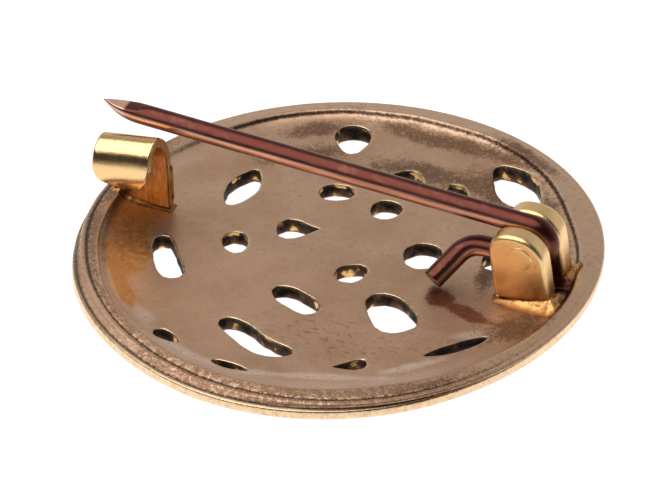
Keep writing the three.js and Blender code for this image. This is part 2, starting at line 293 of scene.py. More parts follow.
def moved_copy(bm, faces, offset):
    """Extrudes faces by an offset and keeps them, so that an open sheet becomes a closed body."""
    made = bmesh.ops.extrude_face_region(bm, geom=faces, use_keep_orig=True)
    verts = [item for item in made["geom"] if isinstance(item, bmesh.types.BMVert)]
    bmesh.ops.translate(bm, verts=verts, vec=offset)
    return verts


def edges_that_rise(bm, axis, rise):
    """The edges whose two ends differ by about this much along an axis."""
    return [e for e in bm.edges
            if abs(abs(e.verts[0].co[axis] - e.verts[1].co[axis]) - rise) < NEARLY]


def file_edges(bm, edges, offset, segments, **settings):
    """Rounds edges as a file does, taking off this much to both sides."""
    bmesh.ops.bevel(bm, geom=edges, offset=offset, offset_type="OFFSET", segments=segments,
                    profile=0.5, affect="EDGES", material=-1, **settings)


def float_layers(bm, names):
    """New number attributes of a piece's points, which its material reads by name."""
    return [bm.verts.layers.float.new(name) for name in names]


# ---------------- disc: openings

# place, length, width, turn in degrees, and how an outline narrows, bows or sways along its
# length, or leans; the ends' numbers go from pointed, under 2, to square, over 3
OPENINGS = [
    dict(at=(-5.4, 16.2), long=4.2, wide=3.1, turn=-71, taper=0.32, ends=(2.2, 2.0)),
    dict(at=(-11.4, 6.0), long=6.0, wide=2.9, turn=-90, ends=(1.7, 1.5)),
    dict(at=(-3.55, 8.2), long=3.25, wide=2.55, turn=23, taper=0.08, ends=(2.7, 2.0)),
    dict(at=(1.45, 7.25), long=2.9, wide=2.8, turn=-93, taper=0.12, ends=(2.0, 2.4)),
    dict(at=(1.45, 12.2), long=3.1, wide=2.7, turn=-46, ends=(2.0, 2.5)),
    dict(at=(6.05, 11.65), long=3.2, wide=2.4, turn=-58, ends=(2.3, 2.3)),
    dict(at=(10.85, 14.25), long=6.2, wide=3.9, turn=-64, lean=0.4, ends=(3, 3)),
    dict(at=(-4.35, 1.9), long=3.8, wide=2.7, turn=22, taper=0.4, ends=(1.2, 2.3)),
    dict(at=(-8.55, -1.9), long=3.3, wide=2.3, turn=-60, ends=(1.8, 2.3)),
    dict(at=(-13.05, -5.95), long=6.4, wide=2.2, turn=-55, taper=-0.18, bow=0.2, ends=(3, 3.4)),
    dict(at=(6.95, 2.0), long=3.8, wide=3.3, turn=-81, taper=0.17, ends=(2.4, 2.2)),
    dict(at=(12.85, 3.45), long=2.6, wide=2.1, turn=-66, ends=(2.3, 2.3)),
    dict(at=(2.35, -2.4), long=3.1, wide=2.5, turn=57, taper=0.21, ends=(2.1, 1.9)),
    dict(at=(-0.5, -7.6), long=5.1, wide=2.5, turn=-23, taper=0.07, ends=(3, 1.9)),
    dict(at=(7.5, -6.45), long=5.8, wide=3.7, turn=-39, taper=-0.19, sway=0.12, ends=(2.7, 2.6)),
    dict(at=(-1.5, -13.8), long=7.8, wide=2.4, turn=-17, bow=0.55, sway=0.25, ends=(2.6, 2.6)),
    dict(at=(-8.1, -16.45), long=2.7, wide=1.4, turn=-17, taper=0.4, ends=(1.8, 2.1)),
    dict(at=(-1.6, -18.2), long=3.5, wide=1.0, turn=-2, taper=0.2, ends=(1.8, 1.8)),
    dict(at=(7.25, -14.4), long=2.9, wide=1.3, turn=33, taper=-0.55, bow=0.2, ends=(2.3, 1.6)),
    dict(at=(14.35, -9.0), long=5.8, wide=1.3, turn=47, bow=0.2, ends=(2.0, 1.8)),
]
OUTLINE_CORNERS = 180            # of an outline before its points are spaced evenly
OUTLINE_SPACING = 0.2
SAWN_WAVER = 0.07                # the outlines waver, as if sawn and filed by hand
OUTLINE_INSET = 0.05             # the walls stand a little inside the outlines


def opening_outline(at, long, wide, turn, ends, taper=0.0, bow=0.0, sway=0.0, lean=0.0):
    """Evenly spaced points round one opening, in plan."""
    points = []
    for i in range(OUTLINE_CORNERS):
        angle = FULL_TURN * i / OUTLINE_CORNERS
        square = ends[0] if math.cos(angle) > 0 else ends[1]
        along = signed_power(math.cos(angle), 2 / square)
        across = signed_power(math.sin(angle), 2 / square)
        bend = bow * (along * along - 0.5) - sway * math.sin(math.pi * along)
        points.append(Vector(((along + lean * across) * long / 2,
                              across * (1 - taper * along) * wide / 2 + bend)))
    around = path_length(points + points[:1])
    points = evenly(points, round(around / OUTLINE_SPACING), closed=True)
    turned = Matrix.Rotation(math.radians(turn), 2)
    return [turned @ point + Vector(at) for point in points]


def outward_normals(loop):
    """Normals that point away from an opening, for its outline taken anticlockwise."""
    normals = []
    for i in range(len(loop)):
        run = loop[(i + 1) % len(loop)] - loop[i - 1]
        normals.append(Vector((run.y, -run.x)).normalized())
    return normals


class OpeningEdges:
    """The openings' outlines in plan, and which of their points is nearest to a place."""

    def __init__(self):
        self.loops = []
        for row in OPENINGS:
            loop = opening_outline(**row)
            normals = outward_normals(loop)
            loop = [p + n * (SAWN_WAVER * bumpy(p, 1.1, 3.7) - OUTLINE_INSET)
                    for p, n in zip(loop, normals)]
            self.loops.append(list(zip(loop, outward_normals(loop))))
        self.points = [pair for loop in self.loops for pair in loop]
        self.tree = point_tree([point for point, _ in self.points])

    def nearest(self, place):
        """Distance from the nearest outline, below 0 inside an opening, and its point there."""
        place = Vector(place[:2])
        _, index, distance = self.tree.find(place.to_3d())
        point, outward = self.points[index]
        side = (place - point).dot(outward)
        near = side if distance < 2 * OUTLINE_SPACING else math.copysign(distance, side)
        return near, point, outward


# ---------------- disc: heights

# how far out the lower moulding, the upper one and the dish reach, every 30 degrees from +X:
# the pattern was cut by hand, so none of them is a true circle
lower_outline = round_curve(
    [22.15, 22.7, 22.74, 22.67, 22.56, 22.47, 22.42, 22.42, 22.34, 22.67, 22.5, 22.04])
upper_outline = round_curve(
    [22.42, 22.66, 22.73, 22.6, 22.52, 22.42, 22.24, 21.6, 21.54, 22.02, 22.34, 22.29])
dish_outline = round_curve(
    [20.8, 20.15, 20.75, 20.55, 20.8, 20.35, 20.3, 20.1, 20.1, 20.45, 20.4, 20.65])

EDGE_RADIUS = 22.5               # what the sections below are drawn for
UPPER_RADIUS = 22.2
DISH_RADIUS = 20.4
SHEET_INSET = 0.7                # from the upper moulding to where the band ends
DISH_ROUND_WITHIN = 14.0
FACE_RADIUS = 17.6               # flat field of the front
SPLAY_HEIGHT = 0.5
GROOVE_DEPTH = 0.12              # plain line round each opening on the front
GROOVE_OUT = 1.15
GROOVE_WIDTH = 0.22
GROOVE_END = 19.6                # it fades out towards the border
EDGE_WAVER = 0.03
WALL_STEPS = 12                  # rows down an opening: rounding, wall and splay
ROUND_STEPS = 4
SPLAY_STEPS = 4
EDGE_STEPS = 32

# section of the edge, out from the band: a scored line, the upper moulding, a crease, the lower
# moulding and the way round to the front
EDGE_SECTION = [
    (-1.00, -0.20), (-0.93, -0.28), (-0.85, -0.26), (-0.70, -0.26), (-0.53, -0.29),
    (-0.41, -0.36), (-0.34, -0.48), (-0.34, -0.60), (-0.39, -0.70), (-0.41, -0.78),
    (-0.31, -0.82), (-0.19, -0.83), (-0.14, -0.90), (-0.10, -1.03), (-0.06, -1.20),
    (-0.02, -1.38), (-0.03, -1.49), (-0.15, -1.58), (-0.45, -1.62), (-0.85, -1.63),
]
CREASES = (Vector((-0.93, -0.27)), Vector((-0.39, -0.78)))       # where dirt has stayed
CREASE_WIDTH = 0.11
LEFT_CREASE = 0.2                # dirt lies this much wider beside the catch
BAND_FALL = 0.2                  # the rim's band falls outwards by this much
CREST_INSET = 0.3                # a rubbed line just inside the band
CREST_WIDTH = 0.27
SCORE_DEPTH = 0.06               # the scored line was partly filled where it is worn
SCORE_WIDTH = 0.06


def angle_of(place):
    return math.atan2(place[1], place[0])


def near_side(angle):
    """1 where the edge's scored line is crisp, on the catch's near side, and 0 where it is rubbed
    down.
    """
    return ease((0.35 - math.sin(angle + 0.5)) / 0.8)


def sheet_edge(angle):
    """How far out the rim's flat band reaches."""
    return upper_outline(angle) - SHEET_INSET


class DiscForm:
    """Heights of the disc's back, front, openings and edge."""

    def __init__(self, sizes):
        self.floor = sizes.floor / MM
        self.rim_top = sizes.rim_top / MM
        self.uneven = sizes.uneven / MM
        self.edge_round = sizes.edge_round / MM
        self.splay = sizes.splay / MM
        self.dish_curve = smooth_curve([
            (0, self.floor), (DISH_ROUND_WITHIN, self.floor), (17.4, self.floor + 0.1),
            (DISH_RADIUS - 0.7, self.floor + 0.42), (DISH_RADIUS - 0.25, self.floor + 0.62),
            (DISH_RADIUS - 0.02, self.rim_top - 0.08), (DISH_RADIUS + 0.25, self.rim_top),
            (DISH_RADIUS + 9, self.rim_top)])
        self.front_curve = smooth_curve([
            (0, 0), (FACE_RADIUS, 0), (FACE_RADIUS + 1.2, 0.3), (20.1, 0.5), (20.6, 0.85),
            (21.0, 0.76), (EDGE_RADIUS - 0.65, self.rim_top - 1.63), (99, self.rim_top - 1.63)])
        section = through([Vector(pair) for pair in EDGE_SECTION], 8)
        self.section = evenly(section, EDGE_STEPS + 1)

    def from_step(self, place):
        """How far a place lies outside the dish's edge."""
        place = Vector(place[:2])
        change = dish_outline(angle_of(place)) - DISH_RADIUS
        share = clamp((place.length - DISH_ROUND_WITHIN) / (DISH_RADIUS - DISH_ROUND_WITHIN))
        return place.length - change * share - DISH_RADIUS + 0.1 * bumpy(place, 4.0, 9.2)

    def back(self, place):
        """Height of the back: the dish, its short step, and a band that falls off outwards."""
        place = Vector(place[:2])
        from_step = self.from_step(place)
        to_edge = sheet_edge(angle_of(place)) - place.length
        band = clamp((from_step - 0.05) / max(from_step - 0.05 + to_edge, 0.1))
        waves = bumpy(place, 6.5, 1.3) + 0.5 * bumpy(place, 2.6, 5.1)
        dish = self.dish_curve(from_step + DISH_RADIUS)
        return dish - BAND_FALL * band + self.uneven * waves * (1 - band)

    def front(self, place, from_opening):
        """Height of the front: flat, stepped down to its border, with a line round openings."""
        radius = Vector(place[:2]).length
        groove = GROOVE_DEPTH * bell(from_opening - GROOVE_OUT, GROOVE_WIDTH)
        return self.front_curve(radius) + groove * ease((GROOVE_END - radius) / 1.5)

    def edge(self, place, step):
        """Place of a point of the edge's section, and how deep in a crease it lies."""
        reach, drop = self.section[step]
        angle = angle_of(place)
        lower = lower_outline(angle) - EDGE_RADIUS
        upper = upper_outline(angle) - UPPER_RADIUS
        out = EDGE_RADIUS + reach + upper + (lower - upper) * ease((-drop - 0.4) / 0.4)
        waver = EDGE_WAVER * abs(bumpy(place, 2.2, 6.6)) * ease(step / EDGE_STEPS * 6)
        spot = place.normalized() * (out - waver)
        crisp = near_side(angle)
        width = CREASE_WIDTH + LEFT_CREASE * ease(-math.cos(angle + 0.25) * 2 - 0.9)
        crease = max(bell((Vector((reach, drop)) - line).length, width) for line in CREASES)
        scored = SCORE_DEPTH * bell(reach - CREASES[0].x, SCORE_WIDTH) * (drop > -0.35)
        return (*spot, self.rim_top + drop + scored * (1 - crisp)), crease * crisp

    def wall(self, step, back):
        """How far out from the outline, and how high, a row of an opening's wall is."""
        top = back - self.edge_round
        if step <= ROUND_STEPS:
            angle = FULL_TURN / 4 * step / ROUND_STEPS
            return self.edge_round * (1 - math.sin(angle)), top + self.edge_round * math.cos(angle)
        splay_start = WALL_STEPS - SPLAY_STEPS
        if step >= splay_start:
            angle = FULL_TURN / 4 * (step - splay_start) / SPLAY_STEPS
            return self.splay * (1 - math.cos(angle)), SPLAY_HEIGHT * (1 - math.sin(angle))
        share = (step - ROUND_STEPS) / (splay_start - ROUND_STEPS)
        return 0.0, top + (SPLAY_HEIGHT - top) * share


# ---------------- disc: mesh

PLAN_SPACING = 0.3               # between the points of the back's even net
RIM_POINTS = 480
STEP_RINGS = (-0.9, -0.62, -0.42, -0.3, -0.22, -0.14, -0.06, 0.02, 0.12, 0.25, 0.42)
BAND_RINGS = (-0.45, -0.2)       # inside the band's outer edge
COLLARS = (0.3, 0.52, 0.8)       # rows of points round each opening
POINTS_APART = 0.12              # least distance between a ring's points and an edge
WALL_ROUGHNESS = 0.07
SPLAY_REACH = 1.3                # the front's net is pushed aside this far round an opening
DULL_BAND = 0.65                 # the rim's band is made darker on its near side, with the tarnish colour
DULL_EDGE = 0.6


def ring(outline, offset=0.0):
    """Points round the disc at this distance outside one of its outlines."""
    angles = [FULL_TURN * i / RIM_POINTS for i in range(RIM_POINTS)]
    return [Vector((math.cos(a), math.sin(a))) * (outline(a) + offset) for a in angles]


def even_net(radius, spacing):
    """Points of a net of equal triangles that covers a circle."""
    rows = int(radius / (spacing * math.sin(math.pi / 3))) + 1
    columns = int(radius / spacing) + 1
    for row in range(-rows, rows + 1):
        for column in range(-columns, columns + 1):
            point = Vector((column + 0.5 * (row % 2), row * math.sin(math.pi / 3))) * spacing
            if point.length < radius:
                yield point


def pierced_sheet(form, edges):
    """A flat sheet of even triangles with the openings left out.

    No bmesh operator fills a sheet with holes evenly enough for a surface that shines, so the
    triangles come from a constrained triangulation of points along every edge and between.
    """
    points, bound = [], []
    for loop in [ring(sheet_edge)] + [
            [point + out * form.edge_round for point, out in loop] for loop in edges.loops]:
        start = len(points)
        points.extend(loop)
        bound.extend((start + i, start + (i + 1) % len(loop)) for i in range(len(loop)))

    rings = [ring(dish_outline, offset) for offset in STEP_RINGS]
    rings += [ring(sheet_edge, offset) for offset in BAND_RINGS]
    for point in [point for points_round in rings for point in points_round]:
        inside = sheet_edge(angle_of(point)) - point.length
        if min(edges.nearest(point)[0] - form.edge_round, inside) > POINTS_APART:
            points.append(point)
    for loop in edges.loops:
        for collar in COLLARS:
            for point, out in loop:
                place = point + out * collar
                clear_of_openings = edges.nearest(place)[0] > collar * 0.9
                clear_of_step = abs(form.from_step(place) + 0.25) > 0.9
                inside = sheet_edge(angle_of(place)) - place.length
                if clear_of_openings and clear_of_step and inside > 0.6:
                    points.append(place)

    placed = point_tree(points)
    for point in even_net(EDGE_RADIUS, PLAN_SPACING):
        inside = sheet_edge(angle_of(point)) > point.length
        if inside and placed.find(point.to_3d())[2] > 0.7 * PLAN_SPACING:
            if edges.nearest(point)[0] > 0:
                points.append(point)

    plan, _, triangles, *_ = geometry.delaunay_2d_cdt(points, bound, [], 0, 1e-6)
    bm = bmesh.new()
    verts = [bm.verts.new(point.to_3d()) for point in plan]
    for triangle in triangles:
        middle = sum((plan[i] for i in triangle), Vector((0, 0))) / 3
        if edges.nearest(middle)[0] > 0:
            bm.faces.new([verts[i] for i in triangle])
    bmesh.ops.delete(bm, geom=[v for v in bm.verts if not v.link_faces], context="VERTS")
    return bm


# stains, painted highlights and painted reflections in plan: middle, half length, half width and
# turn in degrees
STAINS_AND_PAINTED_LIGHT = {
    "tarnish": [
        ((3.5, 13.6), 7.0, 1.7, 0), ((-8.5, 12.6), 4.4, 1.5, 30), ((9.5, 13.8), 3.6, 2.6, -35),
        ((14.7, 11.1), 6.4, 1.4, -58), ((9.9, 18.4), 4.2, 1.1, -30), ((17.9, 5.1), 3.6, 1.1, -80),
        ((2.8, 18.6), 9.0, 1.1, -5), ((13.0, 1.1), 2.8, 0.8, -80), ((17.9, -5.0), 3.6, 1.9, 50),
        ((-9.0, 16.4), 4.0, 1.0, 32), ((14.4, -16.0), 5.0, 0.7, 44),
    ],
    "flux": [
        ((-18.0, -2.6), 3.6, 2.3, -70), ((-16.6, -6.2), 3.9, 2.3, -65),
        ((-14.6, -11.4), 4.2, 0.7, -50), ((-17.6, -0.3), 2.7, 1.3, 0),
    ],
    # painted reflection of the pin's tail
    "painted_tail_reflection": [
        ((10.6, -3.1), 2.0, 1.3, -40), ((13.4, -4.3), 3.0, 1.0, -16),
    ],
    "gold_fleck": [
        ((19.6, 2.4), 2.2, 1.3, -50),
    ],
    # painted highlights: pale streaks on the dish
    "painted_highlight": [
        ((-11.4, -14.4), 1.9, 0.9, -35), ((15.0, -6.9), 1.9, 0.6, 30), ((5.5, -16.9), 9.5, 0.5, 17),
        ((12.2, -12.6), 3.0, 0.5, 42), ((-5.5, -18.0), 3.6, 0.6, -15),
    ],
    "bare": [
        ((-3.55, 8.2), 2.4, 1.9, 23), ((1.45, 12.2), 2.2, 2.0, 0), ((-8.55, -1.9), 2.2, 1.9, 0),
        ((-4.2, 17.4), 1.5, 1.3, 0), ((12.4, 16.4), 1.6, 1.6, 0), ((-11.9, 7.2), 1.6, 1.0, 0),
        ((5.9, 11.9), 1.9, 1.6, 0),
    ],
    "pits": [
        ((5.8, -11.1), 8.4, 3.4, 6), ((20.0, 5.5), 1.6, 1.2, 0), ((-4.0, 12.0), 4.0, 1.0, 20),
    ],
}


def stain_strength(place, blots):
    """1 in the middle of a stain and 0 well outside it, with a soft ragged edge."""
    place = Vector(place[:2])
    ragged = sum(share * bumpy(place, grain, seed)
                 for share, grain, seed in ((0.3, 2.3, 4.4), (0.2, 0.9, 8.8), (0.1, 0.4, 2)))
    strength = 0.0
    for middle, half_length, half_width, turn in blots:
        local = Matrix.Rotation(-math.radians(turn), 2) @ (place - Vector(middle))
        far = math.hypot(local.x / half_length, local.y / half_width)
        strength = max(strength, 1.45 - far + ragged)
    return ease(strength / 1.2)


def make_disc(sizes, material):
    """The cast disc: a dished back with a flat rim, pierced by openings with dark walls."""
    form = DiscForm(sizes)
    edges = OpeningEdges()
    bm = pierced_sheet(form, edges)
    moved_copy(bm, bm.faces[:], (0, 0, -1))

    def on_edge(vert):
        return vert.co.xy.length > sheet_edge(angle_of(vert.co)) - 0.01

    upright = edges_that_rise(bm, 2, 1)
    outside = [e for e in upright if on_edge(e.verts[0])]
    inside = [e for e in upright if not on_edge(e.verts[0])]
    for walls, steps in ((inside, WALL_STEPS), (outside, EDGE_STEPS)):
        bmesh.ops.subdivide_edges(bm, edges=walls, cuts=steps - 1, use_grid_fill=True)

    layers = dict(zip(STAINS_AND_PAINTED_LIGHT, float_layers(bm, STAINS_AND_PAINTED_LIGHT)))
    wall_layer, edge_wear_and_highlight_layer, crease_and_step_shade_layer, band_and_highlight_layer = float_layers(
        bm, ("wall", "rubbed", "crease", "band"))
    for vert in bm.verts:
        place, depth = vert.co.xy, -vert.co.z
        away, point, out = edges.nearest(place)
        back = form.back(place)
        from_step = form.from_step(place)
        for name, layer in layers.items():
            vert[layer] = stain_strength(place, STAINS_AND_PAINTED_LIGHT[name]) if depth < 0.5 else 0.0
        near = near_side(angle_of(place))
        # the band is lighter only on the far side, partly a painted highlight
        vert[band_and_highlight_layer] = ease((from_step + 0.15) / 0.4) * (1 - near)
        if on_edge(vert):
            step = round(depth * EDGE_STEPS)
            vert.co, vert[crease_and_step_shade_layer] = form.edge(place, step)
            # the upper moulding is made darker on the near side, with the tarnish colour
            dull = DULL_EDGE * near * ease((place.normalized().x + 0.8) / 0.5)
            vert[layers["tarnish"]] = dull * (step < EDGE_STEPS / 2)
            # the lower moulding is rubbed bright, partly a painted reflection of the table
            vert[edge_wear_and_highlight_layer] = ease((-form.section[step].y - 0.78) / 0.08)
        elif away < form.edge_round + 0.02:
            step = round(depth * WALL_STEPS)
            reach, height = form.wall(step, back)
            rough = WALL_ROUGHNESS * bumpy((*point, height), 0.7, 2.2)
            reach -= rough * (ROUND_STEPS < step < WALL_STEPS)
            vert.co = (*(point + out * reach), height)
            vert[wall_layer] = depth
            # edge wear with a painted highlight: the rounded back edges are brightest on the side
            # of each opening that catches the light
            side = clamp(0.3 + 0.5 * out.x + 0.6 * out.y)
            vert[edge_wear_and_highlight_layer] = side * ease(1.4 - step / ROUND_STEPS)
        elif depth < 0.5:
            vert.co.z = back
            # painted shade: a dark line at the foot of the dish's step, on the far side
            vert[crease_and_step_shade_layer] = 0.9 * (1 - near) * bell(from_step + 0.16, 0.15)
            # on the near side the dish's edge gets a painted highlight instead, and the band is
            # made darker with the tarnish colour
            crest = bell(from_step + CREST_INSET, CREST_WIDTH)
            slope = 0.5 * ease((from_step + 2.6) / 1.2) * ease(-from_step / 0.2)
            vert[layers["painted_highlight"]] = max(vert[layers["painted_highlight"]], near * max(crest, slope))
            dull = DULL_BAND * near * ease(from_step / 0.3)
            vert[layers["tarnish"]] = max(vert[layers["tarnish"]], dull)
        else:
            angle = angle_of(place)
            inset = lower_outline(angle) - EDGE_RADIUS - upper_outline(angle) + UPPER_RADIUS
            share = clamp((place.length - FACE_RADIUS) / (sheet_edge(angle) - FACE_RADIUS))
            spread = (form.splay - form.edge_round) * clamp(1 - away / SPLAY_REACH) ** 2
            moved = place + out * spread + place.normalized() * inset * share
            vert.co = (*moved, form.front(moved, away + spread))
    make_piece(bm, "Disc", "root", "cast_bronze", material, "disc")


# ---------------- hinge

LUG_ROUND = 2.2                  # height of a lug's round top
LUG_ARC = 16                     # steps round it
LUG_FULLNESS = 0.85              # under 1 gives the round top fuller shoulders
LUG_CROWN = (0.82, 0.74, 0.6)    # each ring of a lug's face against the ring outside it
LUG_CROWN_RISE = 0.02            # each ring stands this much further out
RIVET_SPREAD = 1.2               # the rivet's hammered and filed ends
RIVET_PROUD = 0.1
RIVET_SIDES = 48


def lug_outline(sizes, low, high):
    """A lug's leaning outline in X and Z, anticlockwise from the right end of its round top."""
    lean = math.tan(sizes.lug_lean)
    spring = high.z - LUG_ROUND
    # the box's left side is the round top's shoulder and its right side is the foot's
    half = (high.x - low.x - lean * (spring - low.z)) / 2
    middle = high.x - half
    arc = []
    for i in range(LUG_ARC + 1):
        angle = math.pi * i / LUG_ARC
        arc.append((half * signed_power(math.cos(angle), LUG_FULLNESS),
                    spring + LUG_ROUND * math.sin(angle)))
    side = [spring - (spring - low.z) * share for share in (0.25, 0.5, 0.75, 1.0)]
    foot = [half * share for share in (-0.5, 0.0, 0.5)]
    outline = arc + [(-half, z) for z in side] + [(x, low.z) for x in foot]
    outline += [(half, z) for z in reversed(side)]
    return [(middle + x - lean * (z - low.z), z) for x, z in outline]


def make_lug(sizes, name, node, corners, material):
    """A lug sawn from thick brass plate, its edges filed round and its faces slightly crowned."""
    low, high = corners
    outline = lug_outline(sizes, low, high)
    bm = bmesh.new()
    bmesh.ops.create_circle(bm, cap_ends=True, segments=len(outline), radius=1)
    bm.verts.ensure_lookup_table()
    for vert, (x, z) in zip(bm.verts, outline):
        vert.co = (x, low.y, z)
    moved_copy(bm, bm.faces[:], (0, high.y - low.y, 0))
    bmesh.ops.recalc_face_normals(bm, faces=bm.faces)
    file_edges(bm, edges_that_rise(bm, 1, 0), sizes.lug_round / MM, 4, clamp_overlap=True)
    for face in sorted(bm.faces, key=lambda face: -face.calc_area())[:2]:
        out = Vector((0, math.copysign(LUG_CROWN_RISE, face.normal.y), 0))
        for share in LUG_CROWN:
            face = bmesh.ops.extrude_discrete_faces(bm, faces=[face])["faces"][0]
            centre = Matrix.Translation(-face.calc_center_median())
            bmesh.ops.scale(bm, vec=(share, 1, share), space=centre, verts=face.verts)
            bmesh.ops.translate(bm, vec=out, verts=face.verts)
    lug = make_piece(bm, name, "root", "lug_brass", material, node)
    smoother = lug.modifiers.new("Filed smooth", "SUBSURF")
    smoother.levels = smoother.render_levels = 2


def make_rivet(material):
    """The hinge's rivet, with both ends hammered out over the lugs and filed nearly flush."""
    radius = (RIVET_HIGH.z - RIVET_LOW.z) / 2
    start, end = RIVET_LOW.y, RIVET_HIGH.y
    head = [(0.0, RIVET_PROUD), (0.6, RIVET_PROUD * 0.93), (RIVET_SPREAD - 0.15, RIVET_PROUD * 0.6),
            (RIVET_SPREAD - 0.02, RIVET_PROUD * 0.2), (RIVET_SPREAD, -0.1), (radius, -0.12)]
    section = [(r, start - out) for r, out in head]
    section += [(r, end + out) for r, out in reversed(head)]
    bm = bmesh.new()
    verts = [bm.verts.new((HINGE.x + r, y, HINGE.z)) for r, y in section]
    line = [bm.edges.new(pair) for pair in zip(verts, verts[1:])]
    bmesh.ops.spin(bm, geom=verts + line, cent=HINGE, axis=(0, 1, 0), angle=FULL_TURN,
                   steps=RIVET_SIDES, use_merge=True)
    bmesh.ops.remove_doubles(bm, verts=bm.verts, dist=NEARLY)
    make_piece(bm, "Rivet", "root", "lug_brass", material, "hinge_rivet")


# ---------------- pin

WIRE_SIDES = 44
TIP_STEPS, SHAFT_STEPS, LOOP_STEPS, BEND_STEPS, TAIL_STEPS = 30, 44, 40, 18, 6
TIP_LENGTH = 3.6
TIP_LIFT = 0.4                   # the point is ground from below
TIP_POWER = 2.4                  # how bluntly the point is rounded
TIP_FLAT = 0.06                  # of the wire's radius left at its very end
TAIL_CORNER_X = 11.45
TAIL_END = Vector((9.5, -2.0, 2.36))
TAIL_BEND = 1.4                  # from the corner to where the bend starts
TAIL_EDGE = 0.09
PIN_WAVER = 0.03                 # the wire was straightened by hand
COPPER_HIGHLIGHT_TURN = 2                    # degrees up from level, on the near side
COPPER_HIGHLIGHT_WIDTH = 15


def shaft_height(sizes, x):
    """Height of the straight shaft's middle line."""
    rise = sizes.pin_rise
    return HINGE.z + sizes.loop_radius / MM / math.cos(rise) + (HINGE.x - x) * math.tan(rise)


def pin_path(sizes):
    """The wire's middle line, from the point along the shaft, round the rivet, to the tail."""
    loop_radius = sizes.loop_radius / MM
    shaft = [PIN_LOW.x + TIP_LENGTH * i / TIP_STEPS for i in range(TIP_STEPS)]
    start = PIN_LOW.x + TIP_LENGTH
    turn_x = HINGE.x + loop_radius * math.sin(sizes.pin_rise)
    shaft += [start + (turn_x - start) * i / SHAFT_STEPS for i in range(SHAFT_STEPS)]
    path = [Vector((x, HINGE.y, shaft_height(sizes, x))) for x in shaft]
    top = FULL_TURN / 4 - sizes.pin_rise
    for i in range(LOOP_STEPS + 1):
        angle = top - (top + FULL_TURN / 4) * i / LOOP_STEPS
        path.append(HINGE + loop_radius * Vector((math.cos(angle), 0, math.sin(angle))))
    corner = Vector((TAIL_CORNER_X, HINGE.y, HINGE.z - loop_radius))
    into = (path[-1] - corner).normalized() * TAIL_BEND + corner
    out = (TAIL_END - corner).normalized() * TAIL_BEND + corner
    path += [path[-1].lerp(into, i / TAIL_STEPS) for i in range(1, TAIL_STEPS)]
    for i in range(BEND_STEPS + 1):
        t = i / BEND_STEPS
        path.append(into * (1 - t) ** 2 + corner * 2 * t * (1 - t) + out * t * t)
    path += [out.lerp(TAIL_END, i / TAIL_STEPS) for i in range(1, TAIL_STEPS + 1)]
    return path


def carried_frames(path):
    """A frame at each point of a path, whose X and Y lie across it and never twist."""
    across = Vector((0, 1, 0))
    frames = []
    for i, point in enumerate(path):
        along = (path[min(i + 1, len(path) - 1)] - path[max(i - 1, 0)]).normalized()
        across = (across - along * across.dot(along)).normalized()
        up = across.cross(along)
        columns = Matrix((across, up, along)).transposed()
        frames.append(Matrix.Translation(point) @ columns.to_4x4())
    return frames


def make_pin(sizes, material):
    """The pin: one drawn copper wire, ground to a point, looped round the rivet and bent."""
    radius = sizes.wire_radius / MM
    path = pin_path(sizes)
    frames = carried_frames(path)
    bm = bmesh.new()
    wire_layer = bm.verts.layers.float_vector.new("wire")
    copper_highlight_layer, = float_layers(bm, ["copper_highlight"])
    ring = bmesh.ops.create_circle(bm, segments=WIRE_SIDES, radius=radius,
                                   matrix=frames[0])["verts"]
    edges = list({e for v in ring for e in v.link_edges})
    run = 0.0
    for i, here in enumerate(frames):
        if i:
            made = bmesh.ops.extrude_edge_only(bm, edges=edges)["geom"]
            ring = [item for item in made if isinstance(item, bmesh.types.BMVert)]
            edges = [item for item in made if isinstance(item, bmesh.types.BMEdge)]
            bmesh.ops.transform(bm, matrix=here @ frames[i - 1].inverted(), verts=ring)
            run += (path[i] - path[i - 1]).length
        back_to_wire = here.inverted()
        for vert in ring:
            local = back_to_wire @ vert.co
            vert[wire_layer] = (local.x, local.y, run)
            # a painted highlight: a line of bright copper low on the wire's near side, standing in
            # for the floor's reflection
            turn = math.degrees(math.atan2(-local.y, -local.x)) - COPPER_HIGHLIGHT_TURN
            ragged = 1 + 0.3 * bumpy((run, 0, 0), 3.0, 4.9)
            vert[copper_highlight_layer] = bell(turn, COPPER_HIGHLIGHT_WIDTH * ragged)
    bmesh.ops.holes_fill(bm, edges=[e for e in bm.edges if e.is_boundary], sides=WIRE_SIDES)
    bmesh.ops.recalc_face_normals(bm, faces=bm.faces)
    tail = min((f for f in bm.faces if len(f.verts) == WIRE_SIDES),
               key=lambda face: (face.calc_center_median() - TAIL_END).length)
    file_edges(bm, list(tail.edges), TAIL_EDGE, 3)
    ground_layer, = float_layers(bm, ["ground"])
    for vert in bm.verts:
        from_tip = (vert.co.x - PIN_LOW.x) / TIP_LENGTH
        middle = shaft_height(sizes, vert.co.x)
        if from_tip < 1:
            fullness = max(1 - (1 - max(from_tip, 0)) ** TIP_POWER, TIP_FLAT)
            height = (vert.co.z - middle) * fullness
            # two passes on the stone left a flat facet on top of the point
            facet = radius * (0.12 + 0.62 * max(from_tip, 0))
            vert[ground_layer] = ease((height - facet) / 0.06 + 1) * ease((0.66 - from_tip) / 0.1)
            height = min(height, facet + 0.12 * max(height - facet, 0))
            vert.co.y = HINGE.y + (vert.co.y - HINGE.y) * fullness
            vert.co.z = middle + height + TIP_LIFT * (1 - fullness)
        elif vert.co.z > HINGE.z and vert.co.x < HINGE.x - 3:
            fade = ease(from_tip - 1)
            vert.co.z += PIN_WAVER * fade * bumpy((vert.co.x, 0, 0), 6.0, 7.7)
            vert.co.y += PIN_WAVER * fade * bumpy((vert.co.x, 0, 0), 5.0, 3.1)
    make_piece(bm, "Pin", "pin", "copper_wire", material, "pin")


# ---------------- catch

